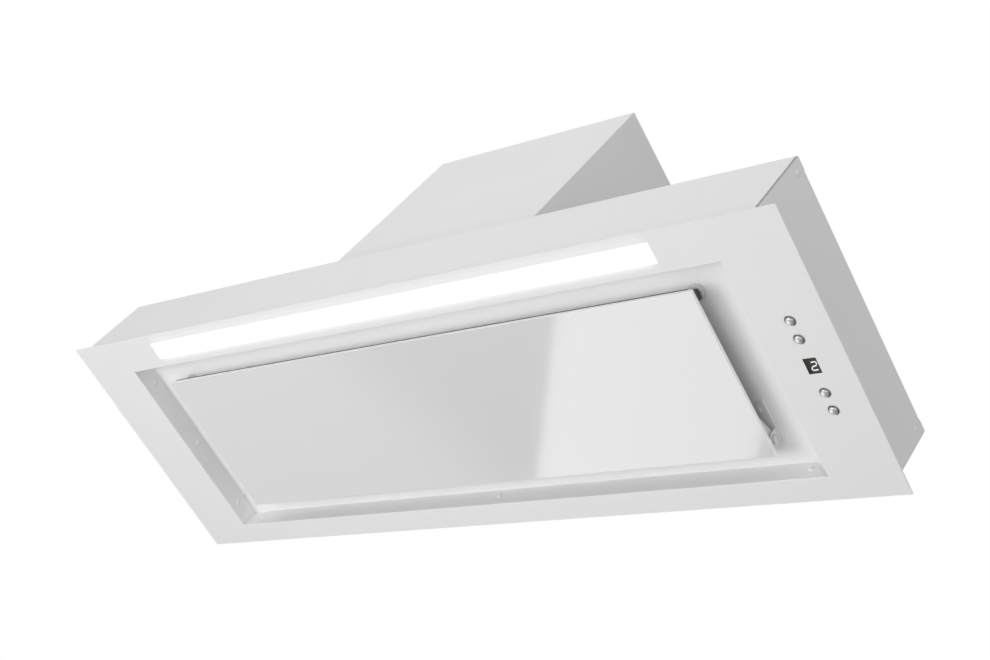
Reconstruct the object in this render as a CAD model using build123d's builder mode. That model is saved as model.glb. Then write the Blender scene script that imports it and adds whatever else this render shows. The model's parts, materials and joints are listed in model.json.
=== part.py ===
from build123d import *
import math
import os

# Built-in range hood, in millimetres. The origin is the centre of the face panel's upper side, the
# plane that seats against the underside of the cabinet. +X runs to the controls, +Y to the wall
# behind the hob and +Z up into the cabinet.

# Sheet metal
FACE_SHEET = 1.0
CASE_SHEET = 0.8
CARRIER_SHEET = 0.8
BEND_RADIUS = 0.9
CASE_BEND_RADIUS = 2.0

# Face panel and the opening in it
OPENING_WIDTH = 674.0
OPENING_DEPTH = 184.0
FACE_LEDGE_SIDE = 18.0
FACE_LEDGE_FRONT = 1.5
TAB_CORNER_RELIEF = 1.2

# Bays between the opening and the casing walls
SIDE_BAY = 43.0
FRONT_BAY = 32.2
BACK_BAY = 19.8

# Recess, casing and motor box heights
RECESS_HEIGHT = 18.8
CASE_HEIGHT = 71.4
BOX_HEIGHT = 190.6
BOX_WIDTH = 233.5
BOX_SETBACK = 9.8

# Casing flanges
RETURN_FLANGE = 12.0
FRONT_LIP = 4.0
BACK_LIP = 12.0
SIDE_LIP = 10.0
SIDE_LIP_LENGTH = 40.0
SIDE_LIP_INSET = 2.0
CORNER_GROOVE = 1.0
BOX_LIP_SIDE = 12.0
BOX_LIP_FRONT = 8.0
BOX_TOP_FLANGE = 12.0
FIXING_HOLE_RADIUS = 3.25
FIXING_INSET_X = 35.0
FIXING_INSET_Y = 33.0

# Blind rivets
RIVET_HEAD_RADIUS = 2.7
RIVET_HEAD_HEIGHT = 1.1
RIVET_SHANK_RADIUS = 1.6
RIVET_TAIL_LENGTH = 2.0
RIVET_HEIGHT_IN_TAB = 10.4
RIVET_INSET_X = 19.0
RIVET_INSET_Y = 21.0
SIDE_RIVET_HEIGHT = 62.7
SIDE_RIVET_INSET = 9.6

# Pan-head screws
SCREW_HEAD_RADIUS = 3.6
SCREW_HEAD_HEIGHT = 2.2
SCREW_SHANK_RADIUS = 1.9
SCREW_LENGTH = 5.0
SCREW_END_INSET = 30.0

# Light bar
LIGHT_LENGTH = 576.0
LIGHT_WIDTH = 16.6
CHANNEL_WALL = 1.2
CHANNEL_HEIGHT = 10.0
DIFFUSER_CLEARANCE = 0.15
DIFFUSER_PROUD = 0.2
DIFFUSER_THICKNESS = 2.2
DIFFUSER_LEG = 5.0
LED_BOARD_WIDTH = 12.0
LED_BOARD_THICKNESS = 1.0
LED_SIZE = 3.0
LED_HEIGHT = 0.8
LED_COUNT = 36
END_CAP_THICKNESS = 2.0

# Glass panel, its carrier and its clearances in the opening
GLASS_GAP_SIDE = 35.7
GLASS_GAP_FRONT = 18.2
GLASS_GAP_BACK = 20.8
GLASS_THICKNESS = 3.0
GLASS_LIFT = 0.8
GLASS_CHAMFER = 0.3
CARRIER_INSET_SIDE = 4.9
CARRIER_INSET_FRONT = 4.9
CARRIER_INSET_BACK = 5.2
CARRIER_LIP = 4.0

# Panel hinge at the back corners
HINGE_BACK_INSET = 8.7
HINGE_HEIGHT = 10.5
HINGE_PIN_RADIUS = 2.5
HINGE_PIN_HEAD_RADIUS = 4.0
HINGE_PIN_HEAD = 1.8
HINGE_PIN_SHORT = 0.2
HINGE_EAR_RADIUS = 5.2
HINGE_PLATE = 1.5
HINGE_PLAY = 0.3
HINGE_FOOT_WIDTH = 11.0
HINGE_FOOT_THICKNESS = 1.3
HINGE_FOOT_LENGTH = 35.0
HINGE_FOOT_RIVET_INSET = 7.5
ARM_EYE_RADIUS = 4.9
ARM_REACH = 20.0
RUNNING_CLEARANCE = 0.05

# Snap catches at the front corners
CATCH_INSET_SIDE = 9.5
CATCH_INSET_FRONT = 10.4
SOCKET_RADIUS = 7.2
SOCKET_PROUD = 3.2
SOCKET_COLLAR_RADIUS = 5.0
SOCKET_COLLAR_HEIGHT = 3.5
SOCKET_BORE_RADIUS = 3.3
STUD_BLOCK = 7.6
STUD_BLOCK_GAP = 0.4
STUD_FOOT = 12.0
STUD_FOOT_HEIGHT = 1.6
STUD_TIP_RADIUS = 2.8
STUD_TIP_LENGTH = 4.4

# Grease filters in their bays above the recess
FILTER_BAY_SIDE = 72.0
FILTER_INSET = 17.0
FILTER_HEIGHT = 9.0
FILTER_PLAY = 1.0
FILTER_SPACING = 14.0
FILTER_RAIL = 9.0
FILTER_GROOVE = 3.0
FILTER_WEB = 1.5
BAY_LIP_HEIGHT = 11.0
MESH_PITCH = 8.0
MESH_SHEET = 0.5
MESH_PLAY = 0.2
HOOK_WIDTH = 14.0
HOOK_LENGTH = 4.0
HOOK_THICKNESS = 1.5
HOOK_SPREAD = 70.0
LATCH_TAB_WIDTH = 40.0
LATCH_TAB_DEPTH = 26.0
LATCH_WIDTH = 12.0
LATCH_THICKNESS = 3.0
LATCH_LENGTH = 16.0
LATCH_ENGAGE = 3.6
LATCH_TRAVEL = 5.0
LATCH_PLAY = 0.15
LATCH_FLOOR = 2.0
GRIP_WIDTH = 9.0
GRIP_LENGTH = 3.0
GRIP_DROP = 1.6
SLOT_PLAY = 0.6

# Controls in the right-hand side bay
CONTROL_FROM_WALL = 11.0
BUTTON_PITCH = 15.1
BUTTON_FIRST = 22.5
DISPLAY_SHIFT = 4.0
BUTTON_RADIUS = 3.7
BUTTON_DOME = 0.6
BUTTON_FLAT_RADIUS = 2.2
BUTTON_PROUD = 1.0
BUTTON_TRAVEL = 1.0
BUTTON_STOP_RADIUS = 4.2
BUTTON_STOP_HEIGHT = 1.0
BUTTON_STEM_RADIUS = 1.6
BEZEL_RADIUS = 4.5
BEZEL_LIP = 0.6
BEZEL_BARREL_RADIUS = 4.25
BEZEL_HEIGHT = 4.0
SWITCH_SIZE = 10.0
SWITCH_HEIGHT = 8.0
SWITCH_BASE = 7.0
STEM_MARGIN = 1.0
DISPLAY_WIDTH = 10.7
DISPLAY_LENGTH = 13.0
DISPLAY_RIM = 1.0
DISPLAY_MODULE_WIDTH = 9.8
BOARD_THICKNESS = 1.6
COVER_WALL = 1.5
COVER_HEIGHT = 24.0
COVER_CLEARANCE = 2.6
COVER_END_MARGIN = 12.0
BOARD_POST_RADIUS = 2.5

# Fan scroll
SCROLL_BASE_RADIUS = 75.0
SCROLL_GROWTH = 10.0
SCROLL_HALF_WIDTH = 62.0
SCROLL_WALL = 2.0
SCROLL_SHIFT = -20.0
SCROLL_BELOW_TOP = 111.2
TONGUE_ANGLE = 65.0
NECK_HEIGHT = 78.0
INLET_RADIUS = 50.0
INLET_LIP = 8.0
INLET_LIP_WALL = 2.0
DUCT_FLANGE = 12.5
DUCT_FLANGE_THICKNESS = 3.0

# Impeller and shaft
WHEEL_RADIUS = 62.0
WHEEL_INNER_RADIUS = 50.5
WHEEL_HALF_WIDTH = 52.0
WHEEL_RING = 2.0
BLADE_COUNT = 36
BLADE_THICKNESS = 1.0
BLADE_SWEEP = 7.0
BLADE_BULGE = 2.6
HUB_RADIUS = 11.0
HUB_LEFT = 14.0
HUB_RIGHT = 10.0
DISC_THICKNESS = 2.0
SHAFT_RADIUS = 4.0
SHAFT_LEFT_END = 22.0
NUT_WIDTH = 13.0
NUT_THICKNESS = 5.0

# Motor
MOTOR_RADIUS = 42.0
MOTOR_START = 14.0
MOTOR_LENGTH = 58.0
MOTOR_WALL = 3.0
BUSH_RADIUS = 8.0
BUSH_LENGTH = 8.0
ROTOR_RADIUS = 26.0
ROTOR_LENGTH = 30.0
BRACKET_RING = 4.0
BRACKET_THICKNESS = 3.0
BRACKET_ARM_WIDTH = 10.0
BRACKET_ARM_COUNT = 3
MOUNT_RADIUS = 5.0
MOUNT_LENGTH = 4.0
MOUNT_DISTANCE = 58.0

# Outlet collar and its backdraft flaps
COLLAR_RADIUS = 74.5
COLLAR_WALL = 1.5
COLLAR_HEIGHT = 28.0
COLLAR_FLANGE = 11.0
COLLAR_SHOULDER = 1.5
COLLAR_SHOULDER_HEIGHT = 3.0
COLLAR_FLANGE_THICKNESS = 1.5
COLLAR_SHIFT = 20.0
FLAP_PIN_HEIGHT = 7.0
FLAP_PIN_RADIUS = 1.5
FLAP_CLEARANCE = 1.5
FLAP_THICKNESS = 1.5
FLAP_START = 5.0
KNUCKLE_RADIUS = 3.0
KNUCKLE_LENGTH = 16.0
KNUCKLE_SPACING = 24.0
STOP_WIDTH = 3.0
STOP_THICKNESS = 1.2
STOP_GAP = 0.3

# Electrical pieces on the recess pan
DRIVER_WIDTH = 36.0
DRIVER_LENGTH = 120.0
DRIVER_HEIGHT = 22.0
DRIVER_EAR = 8.0
DRIVER_EAR_THICKNESS = 1.5
CAPACITOR_RADIUS = 14.0
CAPACITOR_LENGTH = 52.0
CLIP_WALL = 1.5
TERMINAL_WIDTH = 36.0
TERMINAL_LENGTH = 60.0
TERMINAL_HEIGHT = 28.0
TERMINAL_WALL = 2.0
GLAND_RADIUS = 9.0
GLAND_BORE_RADIUS = 4.25
GLAND_OUTSIDE = 9.0
GLAND_INSIDE = 10.0
GLAND_NUT_RADIUS = 12.0
GLAND_NUT_THICKNESS = 5.0
GLAND_INSET = 70.0
GLAND_HEIGHT = 50.0

# One overrun for every cut
OVERRUN = 1.0

# Places worked out from the sizes above
tray_width = OPENING_WIDTH + 2 * FACE_SHEET + 2 * CASE_SHEET
tray_depth = OPENING_DEPTH + 2 * FACE_SHEET + 2 * CASE_SHEET
case_width = OPENING_WIDTH + 2 * SIDE_BAY
case_depth = OPENING_DEPTH + FRONT_BAY + BACK_BAY
face_width = case_width + 2 * FACE_LEDGE_SIDE
face_depth = case_depth + 2 * FACE_LEDGE_FRONT
opening_y = (FRONT_BAY - BACK_BAY) / 2
opening_front = opening_y - OPENING_DEPTH / 2
opening_back = opening_y + OPENING_DEPTH / 2
case_front = -case_depth / 2
case_back = case_depth / 2
case_inner_half = case_width / 2 - CASE_SHEET
tray_top = RECESS_HEIGHT + CASE_SHEET
light_y = case_front + (FRONT_BAY - FACE_SHEET) / 2
glass_width = OPENING_WIDTH - 2 * GLASS_GAP_SIDE
glass_front = opening_front + GLASS_GAP_FRONT
glass_back = opening_back - GLASS_GAP_BACK
glass_depth = glass_back - glass_front
glass_y = (glass_front + glass_back) / 2
glass_top = GLASS_LIFT + GLASS_THICKNESS
carrier_half = glass_width / 2 - CARRIER_INSET_SIDE
carrier_front = glass_front + CARRIER_INSET_FRONT
carrier_back = glass_back - CARRIER_INSET_BACK
carrier_depth = carrier_back - carrier_front
carrier_y = (carrier_front + carrier_back) / 2
carrier_top = glass_top + CARRIER_SHEET
box_depth = case_depth - 2 * BOX_SETBACK
box_top = CASE_HEIGHT + BOX_HEIGHT
box_inner_top = box_top - CASE_SHEET
control_x = case_inner_half - CONTROL_FROM_WALL
button_ys = [
    DISPLAY_SHIFT - BUTTON_FIRST - BUTTON_PITCH,
    DISPLAY_SHIFT - BUTTON_FIRST,
    DISPLAY_SHIFT + BUTTON_FIRST,
    DISPLAY_SHIFT + BUTTON_FIRST + BUTTON_PITCH,
]
button_places = [(control_x, y) for y in button_ys]
filter_width = (OPENING_WIDTH - 2 * FILTER_BAY_SIDE - FILTER_SPACING) / 2
filter_depth = glass_depth - 2 * FILTER_INSET
filter_xs = [side * (filter_width + FILTER_SPACING) / 2 for side in (-1, 1)]
filter_base = RECESS_HEIGHT
bay_width = filter_width + 2 * FILTER_PLAY
bay_depth = filter_depth + 2 * FILTER_PLAY
filter_front = glass_y - filter_depth / 2
filter_back = glass_y + filter_depth / 2
hinge_y = glass_back - HINGE_BACK_INSET
catch_x = glass_width / 2 - CATCH_INSET_SIDE
catch_y = glass_front + CATCH_INSET_FRONT
wheel_z = box_inner_top - SCROLL_BELOW_TOP
collar_base = box_top
pin_z = collar_base + FLAP_PIN_HEIGHT


def at(x, y, z, direction):
    """A location whose own z axis points along direction."""
    return Plane(origin=(x, y, z), z_dir=direction).location


def mirrored_pair(x, y, z, direction):
    """The location given and the one opposite it across the YZ plane."""
    opposite = (-direction[0], direction[1], direction[2])
    return [at(x, y, z, direction), at(-x, y, z, opposite)]


# Fasteners, each drawn once about its own axis with its seat at z = 0
def blind_rivet(grip):
    """Blind rivet with a bevelled head, for a stack of sheets as thick as grip."""
    with BuildPart() as rivet:
        with BuildSketch(Plane.XZ):
            with BuildLine():
                Polyline(
                    (0, RIVET_HEAD_HEIGHT),
                    (RIVET_SHANK_RADIUS, RIVET_HEAD_HEIGHT),
                    (RIVET_HEAD_RADIUS, 0),
                    (RIVET_SHANK_RADIUS, 0),
                    (RIVET_SHANK_RADIUS, -grip - RIVET_TAIL_LENGTH),
                    (0, -grip - RIVET_TAIL_LENGTH),
                    close=True,
                )
            make_face()
        revolve(axis=Axis.Z)
    return rivet.part


def pan_screw(length):
    """Pan-head screw, without its thread and recess."""
    with BuildPart() as screw:
        Cylinder(SCREW_SHANK_RADIUS, length, align=(Align.CENTER, Align.CENTER, Align.MAX))
        Cylinder(SCREW_HEAD_RADIUS, SCREW_HEAD_HEIGHT, align=(Align.CENTER, Align.CENTER, Align.MIN))
    return screw.part


# Where the rivets and screws go
rivet_xs = [
    -OPENING_WIDTH / 2 + RIVET_INSET_X,
    0,
    OPENING_WIDTH / 2 - RIVET_INSET_X,
]
rivet_ys = [
    opening_front + RIVET_INSET_Y,
    opening_y,
    opening_back - RIVET_INSET_Y,
]
recess_rivet_places = (
    [at(x, opening_front, RIVET_HEIGHT_IN_TAB, (0, 1, 0)) for x in rivet_xs]
    + [at(x, opening_back, RIVET_HEIGHT_IN_TAB, (0, -1, 0)) for x in rivet_xs]
    + [at(-OPENING_WIDTH / 2, y, RIVET_HEIGHT_IN_TAB, (1, 0, 0)) for y in rivet_ys]
    + [at(OPENING_WIDTH / 2, y, RIVET_HEIGHT_IN_TAB, (-1, 0, 0)) for y in rivet_ys]
)
side_rivet_y = case_depth / 2 - SIDE_RIVET_INSET
side_rivet_places = [
    place
    for y in (-side_rivet_y, side_rivet_y)
    for place in mirrored_pair(case_width / 2, y, SIDE_RIVET_HEIGHT, (1, 0, 0))
]
box_lip_x = BOX_WIDTH / 2 + BOX_LIP_SIDE / 2
box_screw_y = box_depth / 2 - SCREW_END_INSET
box_screw_places = [
    at(side * box_lip_x, y, CASE_HEIGHT + CASE_SHEET, (0, 0, 1))
    for side in (-1, 1)
    for y in (-box_screw_y, 0, box_screw_y)
]
cover_screw_x = BOX_WIDTH / 2 - BOX_TOP_FLANGE / 2
cover_screw_places = [
    at(side * cover_screw_x, y, box_top, (0, 0, 1))
    for side in (-1, 1)
    for y in (-box_screw_y, box_screw_y)
]
collar_screw_circle = COLLAR_RADIUS + (COLLAR_SHOULDER + COLLAR_FLANGE) / 2
collar_screw_places = [
    at(
        collar_screw_circle * math.cos(math.radians(angle)),
        COLLAR_SHIFT + collar_screw_circle * math.sin(math.radians(angle)),
        collar_base + COLLAR_FLANGE_THICKNESS,
        (0, 0, 1),
    )
    for angle in (45, 135, 225, 315)
]

# Face panel: one sheet, with tabs bent up round the opening and their ends cut at 45 degrees
tab_height = RECESS_HEIGHT + FACE_SHEET
with BuildPart() as face_panel:
    with BuildSketch(Plane.XY.offset(-FACE_SHEET)):
        Rectangle(face_width, face_depth)
        with Locations((0, opening_y)):
            Rectangle(OPENING_WIDTH, OPENING_DEPTH, mode=Mode.SUBTRACT)
    extrude(amount=FACE_SHEET)
    for y, inward in ((opening_front, 1), (opening_back, -1)):
        with BuildSketch(Plane.XZ.offset(-y)):
            with BuildLine():
                root = OPENING_WIDTH / 2 - TAB_CORNER_RELIEF
                Polyline(
                    (-root, -FACE_SHEET),
                    (root, -FACE_SHEET),
                    (root - tab_height, RECESS_HEIGHT),
                    (tab_height - root, RECESS_HEIGHT),
                    close=True,
                )
            make_face()
        extrude(amount=inward * FACE_SHEET)
    for side in (-1, 1):
        with BuildSketch(Plane.YZ.offset(side * OPENING_WIDTH / 2)):
            with BuildLine():
                root = OPENING_DEPTH / 2 - TAB_CORNER_RELIEF
                Polyline(
                    (opening_y - root, -FACE_SHEET),
                    (opening_y + root, -FACE_SHEET),
                    (opening_y + root - tab_height, RECESS_HEIGHT),
                    (opening_y - root + tab_height, RECESS_HEIGHT),
                    close=True,
                )
            make_face()
        extrude(amount=side * FACE_SHEET)
    underside = face_panel.faces().sort_by(Axis.Z)[0]
    fillet(underside.inner_wires()[0].edges(), BEND_RADIUS)
    with BuildSketch(Plane.XY.offset(-FACE_SHEET)):
        with Locations((0, light_y)):
            Rectangle(LIGHT_LENGTH, LIGHT_WIDTH)
        with Locations((control_x, DISPLAY_SHIFT)):
            Rectangle(DISPLAY_WIDTH, DISPLAY_LENGTH)
        with Locations(*button_places):
            Circle(BEZEL_BARREL_RADIUS)
    extrude(amount=FACE_SHEET, mode=Mode.SUBTRACT)
    with Locations(*recess_rivet_places):
        Cylinder(RIVET_SHANK_RADIUS, 2 * FACE_SHEET + OVERRUN, mode=Mode.SUBTRACT)
face_panel.part.label = "face_panel"

# Suction tray: a folded pan that closes the recess, with an upstanding lip round each filter bay
with BuildPart() as suction_tray:
    with BuildSketch():
        with Locations((0, opening_y)):
            Rectangle(tray_width, tray_depth)
    extrude(amount=tray_top)
    fillet(suction_tray.edges().group_by(Axis.Z)[-1], BEND_RADIUS)
    with BuildSketch():
        with Locations((0, opening_y)):
            Rectangle(tray_width - 2 * CASE_SHEET, tray_depth - 2 * CASE_SHEET)
    extrude(amount=RECESS_HEIGHT, mode=Mode.SUBTRACT)
    with BuildSketch(Plane.XY.offset(RECESS_HEIGHT)):
        with Locations(*[(x, glass_y) for x in filter_xs]):
            Rectangle(bay_width + 2 * CASE_SHEET, bay_depth + 2 * CASE_SHEET)
    extrude(amount=BAY_LIP_HEIGHT)
    with BuildSketch(Plane.XY.offset(RECESS_HEIGHT)):
        with Locations(*[(x, glass_y) for x in filter_xs]):
            Rectangle(bay_width, bay_depth)
    extrude(amount=BAY_LIP_HEIGHT, mode=Mode.SUBTRACT)
    slot_z = filter_base + LATCH_FLOOR + LATCH_THICKNESS / 2
    hook_z = filter_base + FILTER_HEIGHT / 2
    for x in filter_xs:
        with Locations((x, glass_y - bay_depth / 2, slot_z)):
            Box(
                LATCH_WIDTH + 2 * SLOT_PLAY,
                4 * CASE_SHEET,
                LATCH_THICKNESS + 2 * SLOT_PLAY,
                mode=Mode.SUBTRACT,
            )
        with Locations(
            (x - HOOK_SPREAD, glass_y + bay_depth / 2, hook_z),
            (x + HOOK_SPREAD, glass_y + bay_depth / 2, hook_z),
        ):
            Box(
                HOOK_WIDTH + 2 * SLOT_PLAY,
                4 * CASE_SHEET,
                HOOK_THICKNESS + 2 * SLOT_PLAY,
                mode=Mode.SUBTRACT,
            )
    with Locations(*recess_rivet_places):
        Cylinder(RIVET_SHANK_RADIUS, 4 * FACE_SHEET + 2 * CASE_SHEET, mode=Mode.SUBTRACT)
    foot_rivet_x = glass_width / 2 - CARRIER_INSET_SIDE + HINGE_PLATE + HINGE_PLAY - HINGE_FOOT_WIDTH / 2
    foot_rivet_y = hinge_y + HINGE_EAR_RADIUS - HINGE_FOOT_LENGTH + HINGE_FOOT_RIVET_INSET
    foot_rivet_places = [
        at(side * foot_rivet_x, foot_rivet_y, RECESS_HEIGHT - HINGE_FOOT_THICKNESS, (0, 0, -1))
        for side in (-1, 1)
    ]
    with Locations(*foot_rivet_places):
        Cylinder(RIVET_SHANK_RADIUS, 2 * (HINGE_FOOT_THICKNESS + CASE_SHEET) + OVERRUN, mode=Mode.SUBTRACT)
    with Locations((catch_x, catch_y, RECESS_HEIGHT), (-catch_x, catch_y, RECESS_HEIGHT)):
        Cylinder(SOCKET_COLLAR_RADIUS, 2 * CASE_SHEET + OVERRUN, mode=Mode.SUBTRACT)
suction_tray.part.label = "suction_tray"

# Rivets through the tabs and the tray walls, and through the hinge feet
tab_rivet = blind_rivet(FACE_SHEET + CASE_SHEET)
foot_rivet = blind_rivet(HINGE_FOOT_THICKNESS + CASE_SHEET)
with BuildPart() as recess_rivets:
    with Locations(*recess_rivet_places):
        add(tab_rivet)
    with Locations(*foot_rivet_places):
        add(foot_rivet)
recess_rivets.part.label = "recess_rivets"

# Casing wrap: front, top and back folded from one sheet, with return flanges behind the side walls
with BuildPart() as casing_wrap:
    with BuildSketch(Plane.YZ.offset(-case_inner_half)) as wrap_section:
        with Locations((0, CASE_HEIGHT / 2)):
            Rectangle(case_depth, CASE_HEIGHT)
        fillet(wrap_section.vertices().group_by(Axis.Y)[-1], CASE_BEND_RADIUS)
        with Locations((0, (CASE_HEIGHT - CASE_SHEET) / 2)):
            Rectangle(case_depth - 2 * CASE_SHEET, CASE_HEIGHT - CASE_SHEET, mode=Mode.SUBTRACT)
        with Locations((case_front + CASE_SHEET, 0)):
            Rectangle(FRONT_LIP, CASE_SHEET, align=(Align.MIN, Align.MIN))
        with Locations((case_back - CASE_SHEET, 0)):
            Rectangle(BACK_LIP, CASE_SHEET, align=(Align.MAX, Align.MIN))
    extrude(amount=2 * case_inner_half)
    for start in (-case_inner_half, case_inner_half - CASE_SHEET):
        with BuildSketch(Plane.YZ.offset(start)):
            Rectangle(
                case_depth - 2 * CASE_SHEET,
                CASE_HEIGHT - CASE_SHEET,
                align=(Align.CENTER, Align.MIN),
            )
            Rectangle(
                case_depth - 2 * RETURN_FLANGE,
                CASE_HEIGHT - RETURN_FLANGE,
                align=(Align.CENTER, Align.MIN),
                mode=Mode.SUBTRACT,
            )
        extrude(amount=CASE_SHEET)
    with BuildSketch(Plane.XY.offset(CASE_HEIGHT - CASE_SHEET)):
        Rectangle(BOX_WIDTH - 2 * CASE_SHEET, box_depth - 2 * CASE_SHEET)
        with GridLocations(case_width - 2 * FIXING_INSET_X, case_depth - 2 * FIXING_INSET_Y, 2, 2):
            Circle(FIXING_HOLE_RADIUS)
    extrude(amount=CASE_SHEET, mode=Mode.SUBTRACT)
    with Locations(*side_rivet_places):
        Cylinder(RIVET_SHANK_RADIUS, 4 * CASE_SHEET + OVERRUN, mode=Mode.SUBTRACT)
    gland_x = case_width / 2 - GLAND_INSET
    with Locations(at(gland_x, case_back, GLAND_HEIGHT, (0, 1, 0))):
        Cylinder(GLAND_RADIUS, 4 * CASE_SHEET, mode=Mode.SUBTRACT)
    with Locations(*box_screw_places):
        Cylinder(SCREW_SHANK_RADIUS, 4 * CASE_SHEET + OVERRUN, mode=Mode.SUBTRACT)
casing_wrap.part.label = "casing_wrap"

# Casing side wall: its upper edge drops by one sheet between the corner flanges
with BuildPart() as casing_side_right:
    with BuildSketch(Plane.YZ.offset(case_inner_half)):
        Rectangle(
            case_depth - 2 * CORNER_GROOVE,
            CASE_HEIGHT,
            align=(Align.CENTER, Align.MIN),
        )
        with Locations((0, CASE_HEIGHT)):
            Rectangle(
                case_depth - 2 * RETURN_FLANGE,
                CASE_SHEET,
                align=(Align.CENTER, Align.MAX),
                mode=Mode.SUBTRACT,
            )
    extrude(amount=CASE_SHEET)
    lip_y = case_depth / 2 - RETURN_FLANGE - SIDE_LIP_INSET - SIDE_LIP_LENGTH / 2
    with Locations((case_inner_half, -lip_y, 0), (case_inner_half, lip_y, 0)):
        Box(SIDE_LIP, SIDE_LIP_LENGTH, CASE_SHEET, align=(Align.MAX, Align.CENTER, Align.MIN))
    with Locations(*side_rivet_places):
        Cylinder(RIVET_SHANK_RADIUS, 4 * CASE_SHEET + OVERRUN, mode=Mode.SUBTRACT)
casing_side_right.part.label = "casing_side_right"

with BuildPart() as casing_side_left:
    mirror(casing_side_right.part, about=Plane.YZ)
casing_side_left.part.label = "casing_side_left"

side_rivet = blind_rivet(2 * CASE_SHEET)
with BuildPart() as casing_rivets:
    with Locations(*side_rivet_places):
        add(side_rivet)
casing_rivets.part.label = "casing_rivets"

# Motor box: four walls on outward feet, with inward flanges at the sides under its cover
with BuildPart() as motor_box:
    with BuildSketch(Plane.XY.offset(CASE_HEIGHT)):
        Rectangle(BOX_WIDTH + 2 * BOX_LIP_SIDE, box_depth + 2 * BOX_LIP_FRONT)
    extrude(amount=CASE_SHEET)
    with BuildSketch(Plane.XY.offset(CASE_HEIGHT)):
        Rectangle(BOX_WIDTH, box_depth)
    extrude(amount=BOX_HEIGHT - CASE_SHEET)
    with BuildSketch(Plane.XY.offset(CASE_HEIGHT)):
        Rectangle(BOX_WIDTH - 2 * CASE_SHEET, box_depth - 2 * CASE_SHEET)
    extrude(amount=BOX_HEIGHT - 2 * CASE_SHEET, mode=Mode.SUBTRACT)
    with BuildSketch(Plane.XY.offset(box_inner_top - CASE_SHEET)):
        Rectangle(BOX_WIDTH - 2 * BOX_TOP_FLANGE, box_depth - 2 * CASE_SHEET)
    extrude(amount=CASE_SHEET, mode=Mode.SUBTRACT)
    with Locations(*box_screw_places, *cover_screw_places):
        Cylinder(SCREW_SHANK_RADIUS, 4 * CASE_SHEET + OVERRUN, mode=Mode.SUBTRACT)
motor_box.part.label = "motor_box"

with BuildPart() as motor_box_cover:
    with BuildSketch(Plane.XY.offset(box_inner_top)):
        Rectangle(BOX_WIDTH, box_depth)
        with Locations((0, COLLAR_SHIFT)):
            Circle(COLLAR_RADIUS - COLLAR_WALL, mode=Mode.SUBTRACT)
    extrude(amount=CASE_SHEET)
    with Locations(*cover_screw_places, *collar_screw_places):
        Cylinder(SCREW_SHANK_RADIUS, 8 * CASE_SHEET, mode=Mode.SUBTRACT)
motor_box_cover.part.label = "motor_box_cover"

screw = pan_screw(SCREW_LENGTH)
with BuildPart() as motor_box_screws:
    with Locations(*box_screw_places, *cover_screw_places):
        add(screw)
motor_box_screws.part.label = "motor_box_screws"

# Light bar: aluminium channel, end caps, LED board and opal diffuser
channel_width = LIGHT_WIDTH + 2 * CHANNEL_WALL
with BuildPart() as light_channel:
    with BuildSketch(Plane.YZ.offset(-LIGHT_LENGTH / 2)):
        with Locations((light_y, 0)):
            Rectangle(channel_width, CHANNEL_HEIGHT, align=(Align.CENTER, Align.MIN))
            Rectangle(
                LIGHT_WIDTH,
                CHANNEL_HEIGHT - CHANNEL_WALL,
                align=(Align.CENTER, Align.MIN),
                mode=Mode.SUBTRACT,
            )
    extrude(amount=LIGHT_LENGTH)
light_channel.part.label = "light_channel"

with BuildPart() as light_end_caps:
    for start in (-LIGHT_LENGTH / 2 - END_CAP_THICKNESS, LIGHT_LENGTH / 2):
        with BuildSketch(Plane.YZ.offset(start)) as cap_section:
            with Locations((light_y, 0)):
                Rectangle(channel_width, CHANNEL_HEIGHT, align=(Align.CENTER, Align.MIN))
            fillet(cap_section.vertices().group_by(Axis.Y)[-1], CHANNEL_WALL)
        extrude(amount=END_CAP_THICKNESS)
light_end_caps.part.label = "light_end_caps"

diffuser_width = LIGHT_WIDTH - 2 * DIFFUSER_CLEARANCE
diffuser_length = LIGHT_LENGTH - 2 * DIFFUSER_CLEARANCE
diffuser_base = -FACE_SHEET - DIFFUSER_PROUD
with BuildPart() as light_diffuser:
    with BuildSketch(Plane.YZ.offset(-diffuser_length / 2)):
        with Locations((light_y, diffuser_base)):
            Rectangle(diffuser_width, DIFFUSER_THICKNESS + DIFFUSER_LEG, align=(Align.CENTER, Align.MIN))
        with Locations((light_y, diffuser_base + DIFFUSER_THICKNESS)):
            Rectangle(
                diffuser_width - 2 * CHANNEL_WALL,
                DIFFUSER_LEG,
                align=(Align.CENTER, Align.MIN),
                mode=Mode.SUBTRACT,
            )
    extrude(amount=diffuser_length)
    fillet(light_diffuser.edges().group_by(Axis.Z)[0], DIFFUSER_PROUD)
light_diffuser.part.label = "light_diffuser"

led_board_top = CHANNEL_HEIGHT - CHANNEL_WALL
with BuildPart() as led_strip:
    with Locations((0, light_y, led_board_top)):
        Box(
            diffuser_length,
            LED_BOARD_WIDTH,
            LED_BOARD_THICKNESS,
            align=(Align.CENTER, Align.CENTER, Align.MAX),
        )
    with BuildSketch(Plane.XY.offset(led_board_top - LED_BOARD_THICKNESS)):
        with Locations((0, light_y)):
            with GridLocations(LIGHT_LENGTH / LED_COUNT, 0, LED_COUNT, 1):
                Rectangle(LED_SIZE, LED_SIZE)
    extrude(amount=-LED_HEIGHT)
led_strip.part.label = "led_strip"

# Glass panel on its steel carrier
with BuildPart() as glass_panel:
    with Locations((0, glass_y, GLASS_LIFT)):
        Box(
            glass_width,
            glass_depth,
            GLASS_THICKNESS,
            align=(Align.CENTER, Align.CENTER, Align.MIN),
        )
    chamfer(glass_panel.edges().group_by(Axis.Z)[0], GLASS_CHAMFER)
    chamfer(glass_panel.edges().group_by(Axis.Z)[-1], GLASS_CHAMFER)
glass_panel.part.label = "glass_panel"

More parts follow.
